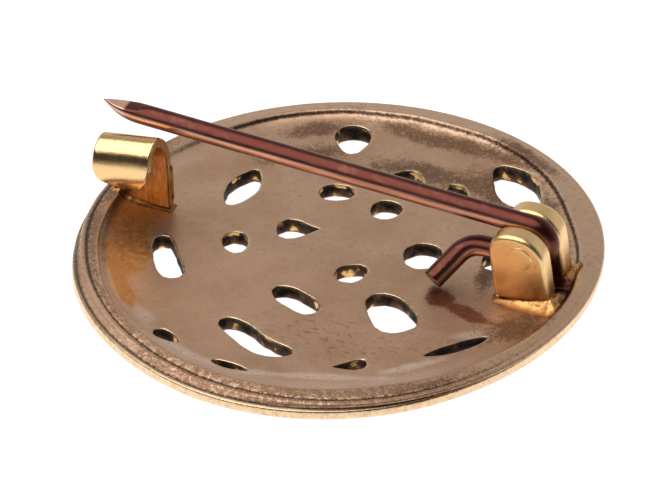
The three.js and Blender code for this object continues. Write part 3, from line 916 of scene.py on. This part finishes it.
CATCH_TOP = 9.15                 # top of the bend's middle line
CATCH_TIP_CORNER = 2.3           # rounding of the lip's corners
CATCH_SLOPE = 0.11               # the bend runs downhill away from the hinge
CATCH_ROWS = 84
CATCH_COLUMNS = 22
CATCH_STATIONS = 400             # points of the bend that the strip is laid along
CATCH_DENT = 0.035


def catch_path(sizes):
    """The strip's middle line in Y and Z: up the leg, over, and down to the lip."""
    leg = CATCH_HIGH.y - sizes.strip / MM / 2
    foot, top = FOOT_HEIGHT, CATCH_TOP
    return through([
        (leg, foot), (leg, foot + 1.85), (leg, foot + 3.65), (leg - 0.2, top - 2.05),
        (leg - 1.0, top - 0.65), (leg - 2.1, top), (leg - 3.1, top - 0.42),
        (leg - 3.66, top - 1.5), (leg - 3.72, top - 2.75), (leg - 3.2, top - 3.7),
    ], 24)


def lip_inset(from_end):
    """How far a round corner of the lip is cut back at this distance from the strip's end."""
    if from_end >= CATCH_TIP_CORNER:
        return 0.0
    from_centre = CATCH_TIP_CORNER - from_end
    return CATCH_TIP_CORNER - math.sqrt(CATCH_TIP_CORNER ** 2 - from_centre ** 2)


def make_catch(sizes, material):
    """The catch: a polished strip, its edges broken, standing on its end and bent over."""
    thick = sizes.strip / MM
    line = catch_path(sizes)
    long = path_length(line)
    stations = evenly(line, CATCH_STATIONS)
    middle = (CATCH_LOW.x + CATCH_HIGH.x) / 2
    half = (CATCH_HIGH.x - CATCH_LOW.x) / 2
    bm = bmesh.new()
    bmesh.ops.create_grid(bm, x_segments=CATCH_COLUMNS, y_segments=CATCH_ROWS, size=1)
    for vert in bm.verts:
        along = (vert.co.y + 1) / 2 * long
        narrow = 1 - lip_inset(long - along) / half
        vert.co = (vert.co.x * half * narrow, along, -thick / 2)
    moved_copy(bm, bm.faces[:], (0, 0, thick))
    bmesh.ops.recalc_face_normals(bm, faces=bm.faces)
    cut = [e for e in edges_that_rise(bm, 2, 0) if e.calc_face_angle(0) > math.radians(60)]
    file_edges(bm, cut, sizes.strip_edge / MM, 4)
    strip_layer = bm.verts.layers.float_vector.new("strip")
    inside_layer, = float_layers(bm, ["inside"])
    for vert in bm.verts:
        across, along, out = vert.co
        vert[strip_layer] = (across, along, out)
        # out is measured towards the inside of the bend
        vert[inside_layer] = ease(out / thick + 0.5)
        share = clamp(along / long) * (CATCH_STATIONS - 1)
        i = min(int(share), CATCH_STATIONS - 2)
        place = stations[i].lerp(stations[i + 1], share - i)
        tangent = (stations[min(i + 2, CATCH_STATIONS - 1)] - stations[max(i - 1, 0)]).normalized()
        dent = CATCH_DENT * bumpy((across, along, 0), 2.3, 5.5) * ease(along / 3)
        y = place.x - tangent.y * (out + dent)
        z = place.y + tangent.x * (out + dent)
        slope = CATCH_SLOPE * max(0.0, z - FOOT_HEIGHT) / (CATCH_TOP - FOOT_HEIGHT)
        vert.co = (middle + across, y, z + slope * across)
    make_piece(bm, "Catch", "root", "catch_brass", material, "catch_hook")


# ---------------- solder

SOLDER_GRAIN = 0.09              # spacing of a solder patch's net
RUN_UP = 4.2                     # how far solder has run up the catch's edge
PATCH_OUT = 1.3                  # from the lugs' feet to the patch's right border
LUG_FOOT = 4.9                   # width of a lug where it stands on the disc


def solder_patch(bm, form, low, high, height):
    """A closed patch of solder on the back: its top stands out where height is over 0."""
    columns = round((high[0] - low[0]) / SOLDER_GRAIN)
    rows = round((high[1] - low[1]) / SOLDER_GRAIN)
    made = bmesh.ops.create_grid(bm, x_segments=columns, y_segments=rows, size=1)["verts"]
    faces = list({face for vert in made for face in vert.link_faces})
    under = set(moved_copy(bm, faces, (0, 0, -1)))
    for vert in set(made) | under:
        x = low[0] + (high[0] - low[0]) * (vert.co.x + 1) / 2
        y = low[1] + (high[1] - low[1]) * (vert.co.y + 1) / 2
        if vert in under:
            vert.co = (x, y, form.floor - 0.45)
            continue
        lumps = 0.09 * bumpy((x, y), 0.9, 1.9) + 0.05 * bumpy((x, y), 0.4, 6.1)
        rise = height(x, y)
        vert.co = (x, y, form.back((x, y)) - 0.04 + rise + lumps * clamp(3 * rise))


def fillet(x, y, low, high, crest, wide):
    """Height of a fillet round a foot's rectangle: its crest, falling off over its width."""
    away = math.hypot(max(low.x - x, 0, x - high.x), max(low.y - y, 0, y - high.y))
    return crest * clamp(1 - away / wide) ** 2


def make_solder(sizes, material):
    """Solder run round the feet of the lugs and the catch, lumpy where it wasn't cleaned up."""
    form = DiscForm(sizes)
    front_high, rear_high, catch_high = FRONT_LUG[1].xy, REAR_LUG[1].xy, CATCH_HIGH.xy
    front_low, rear_low = (Vector((front_high.x - LUG_FOOT, lug[0].y))
                           for lug in (FRONT_LUG, REAR_LUG))
    catch_low = Vector((CATCH_LOW.x, CATCH_HIGH.y - sizes.strip / MM))

    def lug_fillet(x, y):
        share = clamp((x - front_low.x) / (front_high.x - front_low.x))
        crest = 0.15 + 0.8 * share if y < front_low.y + 0.5 else 0.5
        wide = 0.5 + 1.2 * share + 0.3 * bumpy((x, y), 2.0, 2.8)
        front = fillet(x, y, front_low, front_high, crest, wide)
        rear = fillet(x, y, rear_low, rear_high, 0.6, 1.0)
        return max(front, rear) * clamp((front_high.x + PATCH_OUT - x) / 0.8)

    def catch_fillet(x, y):
        share = clamp((x - catch_low.x) / (catch_high.x - catch_low.x))
        wide = 0.8 - 0.35 * share + 0.25 * bumpy((x, y), 1.5, 7.8)
        return fillet(x, y, catch_low, catch_high, 0.32 - 0.14 * share, wide)

    bm = bmesh.new()
    rise_layer, painted_wire_reflection_layer = float_layers(bm, ("rise", "oxide"))
    solder_patch(bm, form, (front_low.x - 1.2, front_low.y - 2.4),
                 (front_high.x + PATCH_OUT, rear_high.y + 1.3), lug_fillet)
    solder_patch(bm, form, (catch_low.x - 0.2, catch_low.y - 1.2),
                 (catch_high.x + 1.2, catch_high.y + 1.2), catch_fillet)
    for vert in bm.verts:
        vert[rise_layer] = clamp(3 * (vert.co.z - form.back(vert.co)))
        # painted reflection of the wire's loop, dark red in shade, on the solder between the lugs
        between = min(vert.co.y - front_high.y, rear_low.y - vert.co.y) + 0.3
        vert[painted_wire_reflection_layer] = clamp(between / 0.4) * (vert.co.x > 0)
    # solder has also run up the leg's edge
    run_up = bmesh.ops.create_icosphere(bm, subdivisions=5, radius=1)["verts"]
    for vert in run_up:
        height = FOOT_HEIGHT + RUN_UP * (vert.co.z + 1) / 2
        thick = 0.2 + 0.16 * ease(vert.co.z) + 0.1 * bumpy((*vert.co.xy, height), 0.7, 3.3)
        vert.co = (CATCH_HIGH.x + vert.co.x * thick - 0.05, CATCH_HIGH.y + vert.co.y * thick - 0.2,
                   height)
        vert[rise_layer] = 1.0
    make_piece(bm, "Solder", "root", "lug_brass", material)


# ---------------- materials

MIX_FACTOR, MIX_A, MIX_B, MIX_OUT = 0, 6, 7, 2       # colour sockets of a Mix node
STAIN_MIDDLE = 0.5               # strength of a stain at its edge
SPECKLE_MIDDLE = 0.9             # middle of the speckle that breaks the stains' edges

# the table's lamp: its middle, where its light stops being even, and where it has faded
LAMP_MIDDLE = (-3.0, 6.0, 0.0)   # millimetres
LAMP_EVEN = 51
LAMP_REACH = 85
LAMP_LEFT = 0.2                  # share of the light that is left there


def add_node(tree, kind, inputs=(), out=0, **settings):
    """Adds a node with its settings, and returns one of its outputs if it has any.

    Inputs are values or other nodes' outputs, in the order of the sockets or under their names.
    """
    made = tree.nodes.new("ShaderNode" + kind)
    for name, value in settings.items():
        setattr(made, name, value)
    named = inputs if isinstance(inputs, dict) else dict(enumerate(inputs))
    for socket, value in named.items():
        if isinstance(value, bpy.types.NodeSocket):
            tree.links.new(value, made.inputs[socket])
        else:
            made.inputs[socket].default_value = value
    return made.outputs[out] if made.outputs else None


def grain_scale(millimetres):
    """Noise scale that gives features of this size on Object coordinates, which are metres."""
    return 1 / (millimetres * MM)


def emptied(owner):
    """Clears a material's or world's nodes, and gives the function that adds nodes to it."""
    owner.use_nodes = True
    owner.node_tree.nodes.clear()
    return partial(add_node, owner.node_tree)


def new_material(name):
    """An empty material, and the function that adds nodes to it."""
    material = bpy.data.materials.new(name)
    return material, emptied(material)


def finish_metal(node, colour, coats, dull, reliefs):
    """The shader of a metal: its colour under its coats, its roughness and its reliefs.

    A coat is its cover and its colour. A relief, the coarsest first, is its height, its
    strength and its depth in millimetres.
    """
    for cover, coat in coats:
        colour = node("Mix", {MIX_FACTOR: cover, MIX_A: colour, MIX_B: coat}, MIX_OUT,
                      data_type="RGBA")
    surface = {"Base Color": colour, "Metallic": 1.0, "Roughness": dull}
    for height, strength, depth in reliefs:
        bump = {"Height": height, "Strength": strength, "Distance": depth * MM}
        if "Normal" in surface:
            bump["Normal"] = surface["Normal"]
        surface["Normal"] = node("Bump", bump)
    node("OutputMaterial", [node("BsdfPrincipled", surface)])


def cast_bronze(colours):
    """Cast bronze, brushed after casting, with tarnish and patina in what the brush missed.

    The eye gets a soft warm lustre broken by clouds, fine brush lines, granular brown tarnish,
    flux stain round the solder, black openings with rubbed bright edges, and painted light: pale
    highlights where the dish rises to the rim, a lighter far band, bright edges on one side of the
    openings, a reflection of the pin's tail and a shade line at the dish's step.
    """
    material, node = new_material("Cast bronze")
    place = node("TexCoord", out="Object")
    clouds, grain, fine, scraped = (
        node("TexNoise", {"Vector": place, "Scale": grain_scale(size), "Detail": detail,
                          "Roughness": rough})
        for size, detail, rough in ((5, 5, 0.6), (0.45, 4, 0.7), (0.16, 2, 0.5), (1.3, 3, 0.5)))
    wall, bare, rubbed, pitted = (
        node("Attribute", out="Fac", attribute_name=name)
        for name in ("wall", "bare", "rubbed", "pits"))
    coats = [(node("MapRange", [clouds, 0.4, 0.75]), colours.bronze_deep)]

    fibres = node("MapRange", [grain, 0.42, 0.7, 0, 0.55])
    flux = node("Mix", {MIX_FACTOR: fibres, MIX_A: colours.flux, MIX_B: colours.solder},
                MIX_OUT, data_type="RGBA")
    # each stain, painted highlight, painted reflection or painted shade: its attribute, its colour,
    # how solid it is, how grainy, and how soft its edge is
    stains_and_painted_light = (
        # smoother rim band, partly a painted highlight
        ("band", colours.band, 0.8, 0.2, 0.35),
        # painted highlight
        ("painted_highlight", colours.painted_highlight, 0.7, 0.9, 0.4),
        ("tarnish", colours.tarnish, 0.9, 2.0, 0.4),
        ("flux", flux, 0.85, 0.9, 0.12),
        # painted reflection of the pin's tail
        ("painted_tail_reflection", colours.painted_tail_reflection, 0.9, 0.8, 0.15),
        ("gold_fleck", colours.solder, 0.7, 2.0, 0.3),
        # dirt in the edge's creases, and the painted shade line at the dish's step
        ("crease", colours.patina, 0.85, 1.0, 0.35),
    )
    speckle = node("Math", [fine, 0.8, grain], operation="MULTIPLY_ADD")
    cover = {}
    for name, stain, solid, ragged, soft in stains_and_painted_light:
        strength = node("Attribute", out="Fac", attribute_name=name)
        broken = node("Math", [speckle, ragged, strength], operation="MULTIPLY_ADD")
        middle = STAIN_MIDDLE + SPECKLE_MIDDLE * ragged
        cover[name] = node("MapRange", [broken, middle - soft, middle + soft, 0, solid])
        coats.append((cover[name], stain))

    # short dark pits left by the casting skin, all lying the same way
    laid = node("Mapping", {
        "Vector": place, "Rotation": (0, 0, math.radians(-24)), "Scale": (0.55, 1.3, 1)})
    dashes = node("TexNoise", {"Vector": laid, "Scale": grain_scale(0.4), "Detail": 1})
    pits = node("MapRange", [dashes, 0.56, 0.7, 0, 0.5])
    pits = node("Math", [pits, pitted], operation="MULTIPLY")

    # below its edge an opening's wall is bare gold metal, mostly under a crust of patina that
    # thins to tarnish further down
    deep = node("MapRange", [wall, 0.2, 0.34])
    low = node("Math", [wall, 0.5, scraped], operation="MULTIPLY_ADD")
    thin = node("MapRange", [low, 0.68, 0.95])
    crust = node("Mix", {MIX_FACTOR: thin, MIX_A: colours.patina, MIX_B: colours.tarnish},
                 MIX_OUT, data_type="RGBA")
    flaked = node("Math", [bare, 0.22, scraped], operation="MULTIPLY_ADD")
    kept = node("MapRange", [flaked, 0.68, 0.6])
    dark = node("Math", [deep, kept], operation="MULTIPLY")
    # rubbed bright edges, partly painted highlight on one side of the openings and painted
    # reflection on the lower moulding
    edge_wear_and_highlight = node("MapRange", [grain, 0.3, 0.6, 0, 0.85])
    edge_wear_and_highlight = node("Math", [rubbed, edge_wear_and_highlight], operation="MULTIPLY")
    coats += [(pits, colours.tarnish), (deep, colours.solder), (dark, crust),
              (edge_wear_and_highlight, colours.worn_gold)]

    # brush lines run round the disc; real ones are finer than the render can show
    brushed = node("TexWave", {
        "Vector": place, "Scale": grain_scale(0.45) / 20, "Distortion": 2.5, "Detail": 3,
        "Detail Scale": 1.5}, "Fac", wave_type="RINGS", rings_direction="Z")
    dull = node("MapRange", [grain, 0, 1, 0.33, 0.5])
    for share, change in ((cover["tarnish"], 0.15), (dark, 0.25), (rubbed, -0.2)):
        dull = node("Math", [share, change, dull], operation="MULTIPLY_ADD")
    height = grain
    for share, change in ((brushed, 0.12), (fine, 0.4), (pits, -0.8)):
        height = node("Math", [share, change, height], operation="MULTIPLY_ADD")
    finish_metal(node, colours.bronze, coats, dull, [(height, 0.6, 0.03)])
    return material


def filed_brass(colours):
    """Yellow brass plate, filed and rubbed with fine abrasive, warmed by the torch at its foot.

    The eye gets a satin gold with broad uneven highlights, faint file marks and a redder foot.
    """
    material, node = new_material("Filed brass")
    place = node("TexCoord", out="Object")
    clouds = node("TexNoise", {"Vector": place, "Scale": grain_scale(2.2), "Detail": 3})
    scratched = node("Mapping", {
        "Vector": place, "Scale": (1.6, 1.0, 0.3), "Rotation": (0, math.radians(25), 0)})
    marks = node("TexNoise", {"Vector": scratched, "Scale": grain_scale(0.3), "Detail": 3})
    height = node("SeparateXYZ", [place], "Z")
    warmed = node("MapRange", [height, 5.4 * MM, 2.2 * MM, 0, 1.8])
    warmed = node("Math", [warmed, clouds], operation="MULTIPLY", use_clamp=True)
    dull = node("MapRange", [marks, 0, 1, 0.22, 0.42])
    finish_metal(node, colours.lug, [(warmed, colours.residue)], dull,
                 [(clouds, 0.5, 0.15), (marks, 0.35, 0.03)])
    return material


def polished_brass(colours):
    """Rolled brass strip, polished outside and left with flux residue inside the bend.

    The eye gets sharp gold highlights with dark reflections between them, and a duller,
    streaky brown-gold where the polishing mop could not reach.
    """
    material, node = new_material("Polished brass strip")
    strip = node("Attribute", out="Vector", attribute_name="strip")
    inside = node("Attribute", out="Fac", attribute_name="inside")
    streaked = node("Mapping", {"Vector": strip, "Scale": (1.3, 0.35, 1.0)})
    # the strip's own coordinates are in millimetres, so these scales are per millimetre
    streaks, scuffs = (
        node("TexNoise", {"Vector": along, "Scale": scale, "Detail": detail,
                          "Roughness": rough})
        for along, scale, detail, rough in ((streaked, 2.4, 5, 0.65), (strip, 3.2, 6, 0.7)))
    residue = node("MapRange", [streaks, 0.35, 0.7, 0.55, 1])
    residue = node("Math", [residue, inside], operation="MULTIPLY")
    dull = node("MapRange", [scuffs, 0.3, 0.7, 0.08, 0.2])
    dull = node("Math", [inside, 0.18, dull], operation="MULTIPLY_ADD")
    finish_metal(node, colours.catch, [(residue, colours.residue)], dull, [(scuffs, 0.3, 0.06)])
    return material


def oxidised_copper(colours):
    """Drawn copper wire, annealed red to maroon by the torch and never polished.

    The eye gets a dark red gloss with lines along the wire, rubbed pinker in places, a painted
    highlight line of bright copper low on its near side, and bare copper where the point was
    ground.
    """
    material, node = new_material("Oxidised copper wire")
    wire = node("Attribute", out="Vector", attribute_name="wire")
    ground, copper_highlight = (node("Attribute", out="Fac", attribute_name=name)
                    for name in ("ground", "copper_highlight"))
    drawn = node("Mapping", {"Vector": wire, "Scale": (1.0, 1.0, 0.05)})
    # the wire's own coordinates are in millimetres, so these scales are per millimetre
    lines, blotched = (
        node("TexNoise", {"Vector": along, "Scale": scale, "Detail": detail,
                          "Roughness": rough})
        for along, scale, detail, rough in ((drawn, 3.4, 4, 0.7), (wire, 0.7, 5, 0.65)))
    rubbed = node("MapRange", [blotched, 0.5, 0.8, 0, 0.1])
    striped = node("MapRange", [lines, 0.2, 0.55])
    # the painted highlight line, broken by the drawing lines, joins the rubbed blotches and the
    # ground point as bright copper
    copper_highlight = node("Math", [copper_highlight, striped], operation="MULTIPLY")
    bare = node("Math", [rubbed, ground], operation="MAXIMUM")
    bare = node("Math", [bare, copper_highlight], operation="MAXIMUM")
    dull = node("MapRange", [lines, 0, 1, 0.22, 0.42])
    finish_metal(node, colours.copper, [(bare, colours.copper_bright)], dull, [(lines, 0.2, 0.03)])
    return material


def brass_solder(colours):
    """Brass solder left as it froze, with burnt flux in its hollows and round its edge.

    The eye gets small bright lumps of gold set in a brown crust, and a dark red painted reflection
    of the wire between the lugs.
    """
    material, node = new_material("Brass solder")
    place = node("TexCoord", out="Object")
    crust = node("TexNoise", {
        "Vector": place, "Scale": grain_scale(0.7), "Detail": 5, "Roughness": 0.7})
    rise, oxide = (node("Attribute", out="Fac", attribute_name=name)
                   for name in ("rise", "oxide"))
    burnt = node("MapRange", [crust, 0.44, 0.62, 0, 0.9])
    low = node("MapRange", [rise, 0.2, 1, 1, 0.35])
    burnt = node("Math", [burnt, low], operation="MAXIMUM")
    dull = node("MapRange", [crust, 0, 1, 0.2, 0.55])
    # the copper colour between the lugs is a painted reflection of the wire, in shade
    finish_metal(node, colours.solder, [(burnt, colours.residue), (oxide, colours.copper)], dull,
                 [(crust, 0.6, 0.12)])
    return material


def lit_table(colours):
    """A milky acrylic light table, which stays white inside the openings.

    Its lamp is small, so that the glow is even round the brooch and fades further out.
    """
    material, node = new_material("Milky acrylic table")
    place = node("TexCoord", out="Object")
    away = node("VectorMath", [place, Vector(LAMP_MIDDLE) * MM], "Value", operation="DISTANCE")
    glow = node("MapRange", [away, LAMP_EVEN * MM, LAMP_REACH * MM, 1, LAMP_LEFT],
                interpolation_type="SMOOTHSTEP")
    shader = node("BsdfPrincipled", {
        "Base Color": colours.floor, "Roughness": 0.6, "Emission Color": colours.floor_light,
        "Emission Strength": glow})
    node("OutputMaterial", [shader])
    return material


# ---------------- stage

# the camera: what it looks at, how far off it stands and its lens in millimetres, and its
# azimuth, elevation and roll in degrees
VIEW_TARGET = Vector((0.296, -1.352, 2.6))
VIEW_DISTANCE = 300
VIEW_LENS = 193.1
VIEW_AZIMUTH, VIEW_ELEVATION, VIEW_ROLL = 24, 34.84, -1.39
FLOOR_SIZE = 3000

# the softbox: azimuth and elevation in degrees, distance and size in centimetres, and watts
SOFTBOX_AZIMUTH, SOFTBOX_ELEVATION = -48, 64
SOFTBOX_DISTANCE = 32
SOFTBOX_SIZE = (40, 42)
SOFTBOX_WATTS = 1.25


def stand(name, data, azimuth, elevation, distance, target=Vector(), roll=0.0):
    """Stands a camera or light in a direction from a target, turned towards it; all metres."""
    azimuth, elevation, roll = (math.radians(angle) for angle in (azimuth, elevation, roll))
    away = Vector((math.sin(azimuth) * math.cos(elevation),
                   -math.cos(azimuth) * math.cos(elevation), math.sin(elevation)))
    made = bpy.data.objects.new(name, data)
    made.location = target + away * distance
    made.rotation_mode = "QUATERNION"
    looking = (-away).to_track_quat("-Z", "Y")
    made.rotation_quaternion = looking @ Matrix.Rotation(roll, 3, "Z").to_quaternion()
    bpy.context.scene.collection.objects.link(made)
    return made


def place_camera():
    """A long lens, looking down at the back from beyond the hinge's near side."""
    data = bpy.data.cameras.new("Camera")
    data.lens = VIEW_LENS
    data.clip_start = CENTIMETRE
    bpy.context.scene.camera = stand("Camera", data, VIEW_AZIMUTH, VIEW_ELEVATION,
                                     VIEW_DISTANCE * MM, VIEW_TARGET * MM, VIEW_ROLL)


def place_softbox():
    """A soft rectangular light high on the catch's near side."""
    data = bpy.data.lights.new("Overhead softbox", "AREA")
    data.shape = "RECTANGLE"
    data.size, data.size_y = (side * CENTIMETRE for side in SOFTBOX_SIZE)
    data.energy = SOFTBOX_WATTS
    stand("Overhead softbox", data, SOFTBOX_AZIMUTH, SOFTBOX_ELEVATION,
          SOFTBOX_DISTANCE * CENTIMETRE)


def light_room():
    """A studio that is dark behind the camera and pale beyond the table."""
    world = bpy.data.worlds.new("Studio")
    bpy.context.scene.world = world
    node = emptied(world)
    direction = node("TexCoord", out="Generated")
    ahead, up = (node("SeparateXYZ", [direction], axis) for axis in "YZ")
    beyond = node("MapRange", [ahead, -0.25, 0.55, 0.06, 0.66], interpolation_type="SMOOTHSTEP")
    low = node("MapRange", [up, 0.35, 0.95, 1, 0.4])
    glow = node("Math", [beyond, low], operation="MULTIPLY")
    background = node("Background", [linear("#fbfaf8"), glow])
    node("OutputWorld", [background])


def make_stage(colours):
    """The table, the light, the room and the camera."""
    bm = bmesh.new()
    bmesh.ops.create_grid(bm, x_segments=1, y_segments=1, size=FLOOR_SIZE * MM)
    mesh = bpy.data.meshes.new("Table")
    bm.to_mesh(mesh)
    bm.free()
    mesh.materials.append(lit_table(colours))
    table = bpy.data.objects.new("Table", mesh)
    bpy.context.scene.collection.objects.link(table)
    light_room()
    place_softbox()
    place_camera()
    bpy.context.scene.view_settings.view_transform = "Standard"


# ---------------- operators and panel


class BROOCH_OT_disc(bpy.types.Operator):
    """Makes the pierced, dished disc"""

    bl_idname = "brooch.disc"
    bl_label = "Disc"

    def execute(self, context):
        scene = context.scene
        make_disc(scene.brooch_sizes, cast_bronze(scene.brooch_colours))
        return {"FINISHED"}


class BROOCH_OT_solder(bpy.types.Operator):
    """Makes the solder round the feet of the lugs and the catch"""

    bl_idname = "brooch.solder"
    bl_label = "Solder"

    def execute(self, context):
        scene = context.scene
        make_solder(scene.brooch_sizes, brass_solder(scene.brooch_colours))
        return {"FINISHED"}


class BROOCH_OT_hinge(bpy.types.Operator):
    """Makes the two lugs and the rivet through them"""

    bl_idname = "brooch.hinge"
    bl_label = "Hinge"

    def execute(self, context):
        sizes = context.scene.brooch_sizes
        brass = filed_brass(context.scene.brooch_colours)
        make_lug(sizes, "Front_lug", "front_lug", FRONT_LUG, brass)
        make_lug(sizes, "Rear_lug", "rear_lug", REAR_LUG, brass)
        make_rivet(brass)
        return {"FINISHED"}


class BROOCH_OT_pin(bpy.types.Operator):
    """Makes the copper pin"""

    bl_idname = "brooch.pin"
    bl_label = "Pin"

    def execute(self, context):
        scene = context.scene
        make_pin(scene.brooch_sizes, oxidised_copper(scene.brooch_colours))
        return {"FINISHED"}


class BROOCH_OT_catch(bpy.types.Operator):
    """Makes the bent catch"""

    bl_idname = "brooch.catch"
    bl_label = "Catch"

    def execute(self, context):
        scene = context.scene
        make_catch(scene.brooch_sizes, polished_brass(scene.brooch_colours))
        return {"FINISHED"}


class BROOCH_OT_stage(bpy.types.Operator):
    """Makes the table, the light, the room and the camera"""

    bl_idname = "brooch.stage"
    bl_label = "Stage"

    def execute(self, context):
        make_stage(context.scene.brooch_colours)
        return {"FINISHED"}


OPERATORS = (BROOCH_OT_disc, BROOCH_OT_solder, BROOCH_OT_hinge, BROOCH_OT_pin, BROOCH_OT_catch,
             BROOCH_OT_stage)


class BROOCH_PT_panel(bpy.types.Panel):
    """Lists the sizes, the colours and what makes each piece"""

    bl_label = "Pierced brooch"
    bl_idname = "BROOCH_PT_panel"
    bl_space_type = "VIEW_3D"
    bl_region_type = "UI"
    bl_category = "Brooch"

    def draw(self, context):
        for group in (context.scene.brooch_sizes, context.scene.brooch_colours):
            box = self.layout.box()
            for name in group.__annotations__:
                box.prop(group, name)
        for operator in OPERATORS:
            self.layout.operator(operator.bl_idname)


CLASSES = (BroochSizes, BroochColours, *OPERATORS, BROOCH_PT_panel)


def register():
    for cls in CLASSES:
        bpy.utils.register_class(cls)
    bpy.types.Scene.brooch_sizes = bpy.props.PointerProperty(type=BroochSizes)
    bpy.types.Scene.brooch_colours = bpy.props.PointerProperty(type=BroochColours)


def unregister():
    del bpy.types.Scene.brooch_colours
    del bpy.types.Scene.brooch_sizes
    for cls in reversed(CLASSES):
        bpy.utils.unregister_class(cls)


def main():
    register()
    bpy.ops.brooch.disc()
    bpy.ops.brooch.solder()
    bpy.ops.brooch.hinge()
    bpy.ops.brooch.pin()
    bpy.ops.brooch.catch()
    bpy.ops.brooch.stage()


if __name__ == "__main__":
    main()
